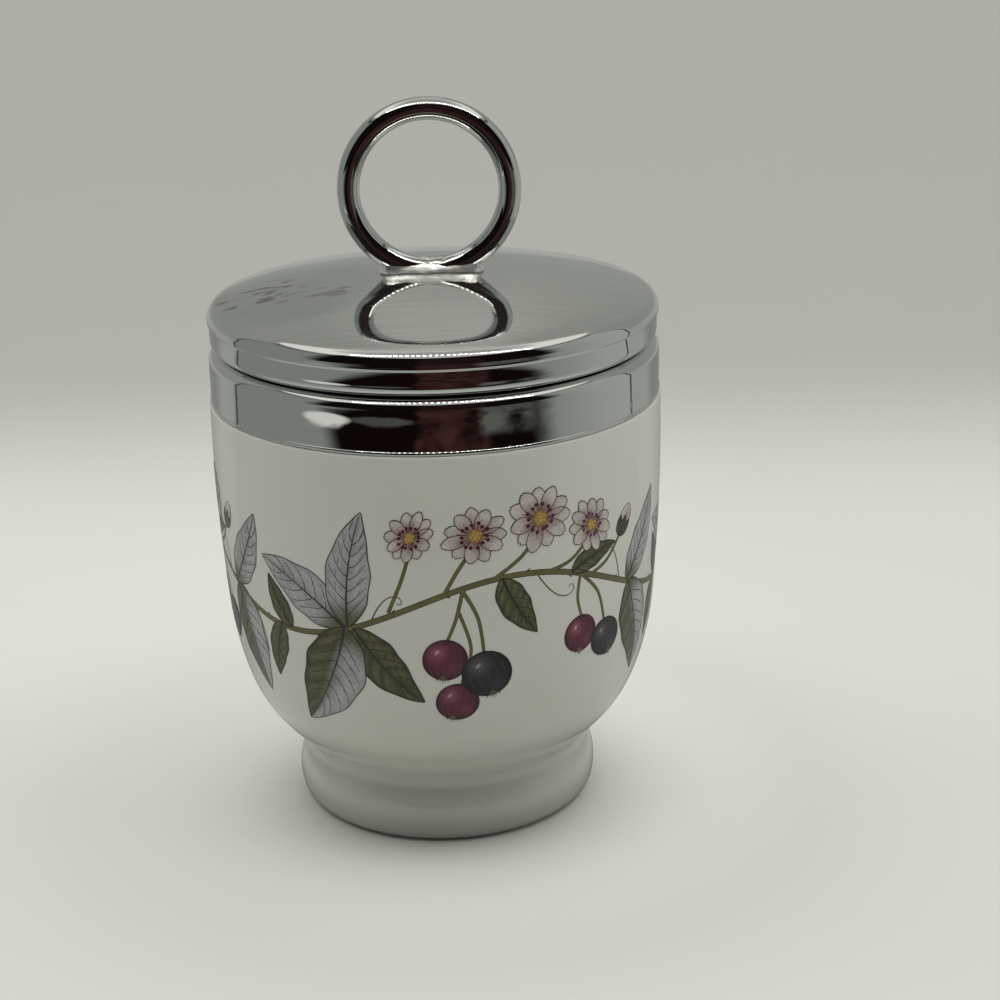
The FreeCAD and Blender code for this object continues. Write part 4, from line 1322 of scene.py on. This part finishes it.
def make_garland():
    """Garland round the cup: a vine with stems, tendrils, leaves, daisies, a bud and currants."""
    stems, leaves = Transfer("garland_stems"), Transfer("garland_leaves")
    flowers, fruit = Transfer("garland_flowers"), Transfer("garland_fruit")
    rng = random.Random(GARLAND_SEED)
    for repeat in range(REPEATS):
        s0 = REPEAT * repeat
        draw_vine(stems, s0)
        for *points, widths in STEMS:
            draw_stem(stems, [(s0 + s, t) for s, t in points], widths)
        for s, *form in TENDRILS:
            draw_tendril(stems, s0 + s, *form)
        for s, *form in LEAVES:
            draw_leaf(leaves, rng, s0 + s, *form)
        for s, t, radius, *form in DAISIES:
            draw_daisy(flowers, rng, s0 + s, t, radius, rng.uniform(0.0, 1.0), *form)
        draw_bud(leaves, flowers, rng, s0 + BUD[0], *BUD[1:])
        for s, *form in CURRANTS:
            draw_fruit(fruit, s0 + s, *form)
    enamel = enamel_finish()
    for group in (stems, leaves, flowers, fruit):
        group.fix(enamel)


# ------------------------------------------------------------------ studio
# Bearings are angles from the front of the cup, positive to its right. In the tent, z is the height of
# a direction of length 1, and on the floor, distances are from the cup's axis.
FLOOR_RADIUS = 14.0
FLOOR_POINTS = 96
SHEET_FRONT, SHEET_SLANT = -0.130, 0.10
OPEN_LEFT, OPEN_RIGHT = math.radians(-56.0), math.radians(57.0)
ROOF_EDGE = 0.76
SIDE_TO_RIGHT = (0.7, 1.8)
BACK_PANEL = (1.96, 2.02)
SEAM_BEARINGS = (1.945, 1.960)
CLOTH_BEARINGS = (-0.08, 0.42)
LIT_BACK_HEIGHTS, LIT_BACK_BEARINGS = (0.12, 0.62), (2.93, 3.09)
FRAME_BAR_HEIGHTS = (0.665, 0.685)
ROOF_HEIGHTS, ROOF_TOP_HEIGHTS = (0.70, 0.84), (0.915, 0.965)
STRIP_HEIGHTS, STRIP_BEARINGS = (0.74, 0.885), (0.95, 2.3)

# Patches that metal shows on the floor, in the sheet's painted reflection: the middle and the reach of each,
# as (bearing, distance).
GREY_LEFT_PATCH = (-0.42, 0.2470), (0.30, 0.0100)
HIGH_GLARE_PATCH = (-0.93, 0.2785), (0.30, 0.0125)
LOW_GLARE_PATCH = (-0.90, 0.2455), (0.25, 0.0120)

# Sheet colours: the middle one is the sheet's own; the near, right and back ones are painted shade, and the
# two by the cup are painted light.
SHEET_MIDDLE, SHEET_PAINTED_SHADE_NEAR = (0.80, 0.805, 0.76), (0.76, 0.76, 0.725)
SHEET_PAINTED_SHADE_RIGHT = (0.70, 0.70, 0.665)
SHEET_PAINTED_SHADE_BACK = (0.505, 0.505, 0.47)
SHEET_PAINTED_LIGHT_LEFT_OF_CUP, SHEET_PAINTED_LIGHT_BY_CUP = (0.825, 0.83, 0.785), (0.88, 0.885, 0.84)
SHEET_GRAIN = (0.66, 0.66, 0.63)
SHEET_DUST = (0.33, 0.32, 0.29)
# Painted shade: what diffuse rays see of the sheet near the cup, darker than the sheet.
PAINTED_SHADE_BOUNCE_RIGHT, PAINTED_SHADE_BOUNCE_LEFT = (0.405, 0.405, 0.375), (0.57, 0.57, 0.53)
# Colours of the sheet's painted reflection, which only metal and glaze show.
MIRRORED_FRONT, MIRRORED_BACK = (0.56, 0.565, 0.53), (0.25, 0.26, 0.245)
# Painted shadow in the reflected sheet, close round the foot.
MIRRORED_FOOT_SHADOW = (0.10, 0.10, 0.095)
HIGH_GLARE, LOW_GLARE = (0.56, 0.57, 0.53), (0.80, 0.80, 0.76)

WALL_LEFT, WALL_RIGHT = (0.262, 0.278, 0.262), (0.43, 0.445, 0.42)
WALL_SEAM = (0.07, 0.075, 0.07)
FRAME_BAR = (0.05, 0.052, 0.05)
LOW_BACK_FAR, LOW_BACK_NEAR = (0.40, 0.415, 0.39), (0.25, 0.26, 0.245)
BACK_DIM, BACK_LIT = (0.325, 0.335, 0.31), (0.435, 0.445, 0.415)
ROOF_WHITE, ROOF_STRIP, ROOF_TOP = (0.62, 0.625, 0.59), (0.96, 0.96, 0.91), (0.42, 0.425, 0.40)
ROOM_BLACK, ROOM_RED = (0.006, 0.003, 0.003), (0.060, 0.024, 0.022)
ROOM_GREY, ROOM_LEFT_GREY = (0.13, 0.135, 0.12), (0.095, 0.10, 0.09)
ROOM_DEEP = (0.006, 0.005, 0.005)

# What the tent sheds on things that aren't metal.
ROOF_LIGHT_FRONT, ROOF_LIGHT_BACK = (1.02, 1.02, 0.985), (1.80, 1.80, 1.73)
SIDE_LIGHT_LOW, SIDE_LIGHT_LEFT = (0.22, 0.22, 0.21), (0.35, 0.35, 0.335)
SIDE_LIGHT_BACK, SIDE_LIGHT_RIGHT = (0.66, 0.66, 0.64), (0.76, 0.76, 0.73)
ROOM_LIGHT = (0.015, 0.013, 0.013)
BACKDROP = (0.40, 0.405, 0.36)

LAMP_COUNT, LAMP_PITCH = 37, 0.0082
LAMP_HALF_WIDE, LAMP_HALF_TALL = 0.0014, 0.0085
LAMP_ROW_PLACE = (0.022, -0.095, 0.285)
LAMP_LEAN = 0.3
LAMP_COLOUR, LAMP_STRENGTH = (1.0, 0.98, 0.90, 1.0), 30.0
PANEL_PLACE = (0.035, -0.085, 0.36)
PANEL_SIZE = (0.30, 0.10)
PANEL_COLOUR, PANEL_ENERGY = (1.0, 1.0, 0.965), 0.17

# The camera: its focal length in pixels of a picture 1000 wide, its tilts, and the place it looks past.
FOCAL_PIXELS, PICTURE_PIXELS, SENSOR_WIDTH = 2224.0, 1000.0, 36.0
CAMERA_PITCH, CAMERA_ROLL = math.radians(19.25), math.radians(1.35)
CAMERA_DISTANCE, CAMERA_ACROSS, CAMERA_LIFT = 0.3201, 0.00873, 0.04376


def glow(graph, colour, strength=1.0):
    made = graph.node("ShaderNodeEmission")
    graph.plug(made.inputs["Color"], colour)
    graph.plug(made.inputs["Strength"], strength)
    return made.outputs[0]


def bearing(graph, x, y):
    return graph.math("ARCTAN2", x, graph.times(y, -1.0))


def swayed_by(graph, value, noise, amount):
    """The value moved to and fro by a noise, so that an edge drawn with it isn't straight."""
    return graph.plus(value, graph.times(graph.minus(noise, 0.5), amount))


def tent_side(graph, facing, back):
    """Colour of the tent's wall in each direction: lit panels, a dark seam, and the back."""
    turned = graph.math("ABSOLUTE", facing)
    wall = graph.mix(graph.ramp(facing, *SIDE_TO_RIGHT), WALL_LEFT, WALL_RIGHT)
    wall = graph.mix(graph.ramp(turned, *BACK_PANEL), wall, back)
    return graph.mix(between(graph, turned, *SEAM_BEARINGS, 0.012), wall, WALL_SEAM)


def dark_room(graph, facing, folds):
    """What shows through the tent's open front: a dark room with wine-red cloth in it."""
    red = graph.times(between(graph, facing, *CLOTH_BEARINGS, 0.08), graph.ramp(folds, 0.22, 0.72))
    return graph.mix(red, ROOM_BLACK, ROOM_RED)


def sheet_colour(g, place, radius, x, y):
    """The pale sheet, with painted shade that makes it greyer in front, to the right and at the back, painted
    light that makes it paler round the cup, and specks of dust.
    """
    # Painted shade: greyer in front, to the right and at the back.
    pale = g.mix(g.ramp(y, 0.05, -0.02), SHEET_MIDDLE, SHEET_PAINTED_SHADE_NEAR)
    pale = g.mix(g.times(g.ramp(x, -0.01, 0.07), 0.35), pale, SHEET_PAINTED_SHADE_RIGHT)
    pale = g.mix(g.ramp(y, 0.10, 0.24), pale, SHEET_PAINTED_SHADE_BACK)
    # Painted light: paler round the cup.
    painted_light_by_cup = g.mix(g.ramp(x, -0.035, 0.0), SHEET_PAINTED_LIGHT_LEFT_OF_CUP, SHEET_PAINTED_LIGHT_BY_CUP)
    pale = g.mix(g.ramp(radius, 0.058, 0.034), pale, painted_light_by_cup)
    pale = g.mix(g.times(g.noise(place, 25.0, 2.0), 0.05), pale, SHEET_GRAIN)
    return g.mix(g.times(specks(g, place, 34.0, 0.016, 0.72), 0.35), pale, SHEET_DUST)


def room_past_sheet(g, radius, facing, mottle):
    """The low part of the dark room, with two dim grey patches in it."""
    dull = g.times(between(g, facing, 0.45, 0.78, 0.12), g.ramp(radius, 0.2285, 0.236))
    room = g.mix(g.times(dull, g.ramp(mottle, 0.25, 0.65)), dark_room(g, facing, mottle), ROOM_GREY)
    grey_left = g.times(patch(g, facing, radius, *GREY_LEFT_PATCH), 0.8)
    return g.mix(grey_left, room, ROOM_LEFT_GREY)


def mirrored_floor(g, radius, x, y):
    """What metal shows of the floor, as a painted reflection that glows: the sheet by the cup, and the tent
    and the room past its edges.
    """
    round_it = bearing(g, x, y)
    mottle = g.noise(g.join(g.times(round_it, 5.0), g.times(radius, 60.0), 0.0), 1.0, 2.0, 0.5)
    facing = swayed_by(g, round_it, mottle, 0.16)

    front_edge = g.plus(g.times(x, SHEET_SLANT), SHEET_FRONT)
    left_side = g.ramp(radius, 0.240, 0.282, -1.00, -0.66, smooth=False)
    left_part = g.ramp(g.minus(facing, left_side), -0.34, 0.16)
    past_front = g.ramp(g.minus(front_edge, y), -0.018, 0.018)
    beyond = g.times(left_part, g.ramp(facing, 1.10, 0.80), past_front)

    behind = g.ramp(g.math("ABSOLUTE", round_it), 2.2, 2.5)
    back = g.mix(g.times(behind, g.ramp(radius, 0.36, 0.26)), LOW_BACK_FAR, LOW_BACK_NEAR)
    near_sheet = g.mix(g.ramp(y, 0.0, 0.04), MIRRORED_FRONT, MIRRORED_BACK)
    # Painted shadow: the reflected sheet goes dark close round the foot.
    near_sheet = g.mix(g.ramp(radius, 0.036, 0.022), near_sheet, MIRRORED_FOOT_SHADOW)
    sheet = g.mix(g.ramp(radius, 0.05, 0.165), near_sheet, tent_side(g, round_it, back))
    seen = g.mix(beyond, sheet, room_past_sheet(g, radius, facing, mottle))

    high_glare = g.times(patch(g, facing, radius, *HIGH_GLARE_PATCH), g.ramp(mottle, 0.38, 0.60))
    seen = g.mix(high_glare, seen, HIGH_GLARE)
    return g.mix(patch(g, round_it, radius, *LOW_GLARE_PATCH), seen, LOW_GLARE)


def floor_finish():
    """Pale flat sheet. Metal also shows what lies beyond the sheet."""
    material, g, shader = new_material("pale_sheet")
    place = g.object_place()
    x, y = g.split(place)[:2]
    radius = reach_from_axis(g, x, y)
    path = g.node("ShaderNodeLightPath").outputs
    # Near the cup, diffuse rays see a darker sheet: painted shade in the light that bounces onto the cup.
    painted_shade_near_cup = g.times(g.ramp(radius, 0.072, 0.030), path["Is Diffuse Ray"])
    painted_shade_bounced = g.mix(g.ramp(x, 0.012, -0.035), PAINTED_SHADE_BOUNCE_RIGHT, PAINTED_SHADE_BOUNCE_LEFT)
    g.plug(shader.inputs["Base Color"], g.mix(painted_shade_near_cup, sheet_colour(g, place, radius, x, y), painted_shade_bounced))
    shader.inputs["Roughness"].default_value = 0.9
    shader.inputs["Specular IOR Level"].default_value = 0.1
    # For glossy rays the sheet glows with a painted reflection instead of its own shading.
    blend = g.node("ShaderNodeMixShader")
    g.plug(blend.inputs[0], path["Is Glossy Ray"])
    g.plug(blend.inputs[1], shader.outputs[0])
    g.plug(blend.inputs[2], glow(g, mirrored_floor(g, radius, x, y)))
    g.plug(g.tree.nodes["Material Output"].inputs["Surface"], blend.outputs[0])
    return material


def make_floor():
    vertices = [(FLOOR_RADIUS * math.cos(TURN * k / FLOOR_POINTS),
                 FLOOR_RADIUS * math.sin(TURN * k / FLOOR_POINTS), 0.0) for k in range(FLOOR_POINTS)]
    floor = new_object("floor", new_mesh("floor", vertices, [list(range(FLOOR_POINTS))]))
    dress(floor, floor_finish())


def mirrored_tent(g, z, facing, opening, folds):
    """What metal shows of the tent: its walls, a bar of its frame, the bright roof, and the dark front."""
    turned = g.math("ABSOLUTE", facing)
    lit_back = g.times(g.ramp(z, *LIT_BACK_HEIGHTS), g.ramp(turned, *LIT_BACK_BEARINGS))
    wall = tent_side(g, facing, g.mix(lit_back, BACK_DIM, BACK_LIT))
    frame_bar = g.times(between(g, z, *FRAME_BAR_HEIGHTS, 0.012), g.ramp(turned, 2.0, 1.9))
    wall = g.mix(frame_bar, wall, FRAME_BAR)
    roof = g.mix(g.ramp(z, *ROOF_HEIGHTS), wall, ROOF_WHITE)
    strip = g.times(between(g, z, *STRIP_HEIGHTS, 0.02), between(g, turned, *STRIP_BEARINGS, 0.5))
    roof = g.mix(strip, roof, ROOF_STRIP)
    roof = g.mix(g.ramp(z, *ROOF_TOP_HEIGHTS), roof, ROOF_TOP)
    return g.mix(opening, roof, g.mix(0.62, dark_room(g, facing, folds), ROOM_DEEP))


def tent_light(g, x, y, z, facing, opening):
    """The tent's soft light on everything but metal."""
    over = g.mix(g.ramp(y, -0.50, 0.35), ROOF_LIGHT_FRONT, ROOF_LIGHT_BACK)
    beside = g.mix(g.ramp(x, 0.1, -0.5), SIDE_LIGHT_LOW, SIDE_LIGHT_LEFT)
    beside = g.mix(g.ramp(g.math("ABSOLUTE", facing), 0.85, 2.2), beside, SIDE_LIGHT_BACK)
    beside = g.mix(g.ramp(x, 0.2, 0.9), beside, SIDE_LIGHT_RIGHT)
    return g.mix(opening, g.mix(g.ramp(z, 0.70, 0.86), beside, over), ROOM_LIGHT)


def make_world():
    """Light tent: a bright roof, grey walls, and a dark room beyond the open front."""
    world = bpy.data.worlds.new("light_tent")
    bpy.context.scene.world = world
    world.use_nodes = True
    world.node_tree.nodes.clear()
    g = Graph(world.node_tree)
    direction = g.node("ShaderNodeTexCoord").outputs["Generated"]
    x, y, z = g.split(direction)
    facing = bearing(g, x, y)
    folds = g.noise(direction, 7.0, 3.0)
    sides = between(g, swayed_by(g, facing, folds, 0.12), OPEN_LEFT, OPEN_RIGHT, 0.20)
    opening = g.times(sides, g.ramp(z, ROOF_EDGE + 0.03, ROOF_EDGE, smooth=False))
    path = g.node("ShaderNodeLightPath").outputs
    lit = g.mix(path["Is Glossy Ray"], tent_light(g, x, y, z, facing, opening),
                mirrored_tent(g, z, facing, opening, folds))
    background = g.node("ShaderNodeBackground")
    g.plug(background.inputs["Color"], g.mix(path["Is Camera Ray"], lit, BACKDROP))
    background.inputs["Strength"].default_value = 1.0
    g.plug(g.node("ShaderNodeOutputWorld").inputs["Surface"], background.outputs[0])


def make_panel():
    """A soft panel over the cup."""
    panel = bpy.data.lights.new("roof_panel", "AREA")
    panel.shape = "RECTANGLE"
    panel.size, panel.size_y = PANEL_SIZE
    panel.energy = PANEL_ENERGY
    panel.color = PANEL_COLOUR
    lamp = new_object("roof_panel", panel)
    lamp.location = PANEL_PLACE
    lamp.visible_glossy = False


def make_lamp_row():
    """A row of small lamps over the open front, which only metal and glaze show."""
    corners = ((-1.0, -1.0), (1.0, -1.0), (1.0, 1.0), (-1.0, 1.0))
    vertices = []
    for k in range(LAMP_COUNT):
        centre = Vector(LAMP_ROW_PLACE)
        centre.x += (k - (LAMP_COUNT - 1) / 2.0) * LAMP_PITCH
        for across, upward in corners:
            dx, dz = across * LAMP_HALF_WIDE, upward * LAMP_HALF_TALL
            vertices.append(centre + Vector((dx, -dz, dz * LAMP_LEAN)))
    faces = [[4 * k, 4 * k + 1, 4 * k + 2, 4 * k + 3] for k in range(LAMP_COUNT)]
    row = new_object("lamp_row", new_mesh("lamp_row", vertices, faces))
    material, g, _ = new_material("lamp_glow")
    g.plug(g.tree.nodes["Material Output"].inputs["Surface"], glow(g, LAMP_COLOUR, LAMP_STRENGTH))
    dress(row, material)
    row.visible_camera = False
    row.visible_diffuse = False
    row.visible_shadow = False


def make_camera():
    camera = bpy.data.cameras.new("camera")
    camera.sensor_width = SENSOR_WIDTH
    camera.lens = SENSOR_WIDTH * FOCAL_PIXELS / PICTURE_PIXELS
    camera.clip_start = 0.01
    camera.clip_end = 100.0
    sin_pitch, cos_pitch = math.sin(CAMERA_PITCH), math.cos(CAMERA_PITCH)
    sin_roll, cos_roll = math.sin(CAMERA_ROLL), math.cos(CAMERA_ROLL)
    sideways = Vector((1.0, 0.0, 0.0))
    forward = Vector((0.0, cos_pitch, -sin_pitch))
    upward = Vector((0.0, sin_pitch, cos_pitch))
    right = sideways * cos_roll - upward * sin_roll
    up = sideways * sin_roll + upward * cos_roll
    place = Vector((CAMERA_ACROSS, -CAMERA_DISTANCE * cos_pitch, CAMERA_LIFT + CAMERA_DISTANCE * sin_pitch))
    view = new_object("camera", camera)
    view.matrix_world = Matrix((
        (right.x, up.x, -forward.x, place.x),
        (right.y, up.y, -forward.y, place.y),
        (right.z, up.z, -forward.z, place.z),
        (0.0, 0.0, 0.0, 1.0)))
    bpy.context.scene.camera = view


# ------------------------------------------------------------------ assembly
make_camera()
make_world()
make_panel()
make_lamp_row()
make_floor()

collar_chrome = chrome_finish("chrome_collar_plate", "collar")
thread_metal = thread_metal_finish()
dress(make_cup(), porcelain_finish())
make_garland()
dress(make_collar(), collar_chrome)
make_threads(collar_chrome, thread_metal)
dress(make_lid(), chrome_finish("chrome_lid_plate", "lid"))
dress(make_loop(), chrome_finish("chrome_plate"))
dress(make_saddle(), chrome_finish("chrome_over_solder", "solder"))
dress(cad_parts["collar_cement"], cement_finish())
dress(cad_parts["lid_thread_ring"], thread_metal)

bpy.context.scene.view_settings.view_transform = "Standard"
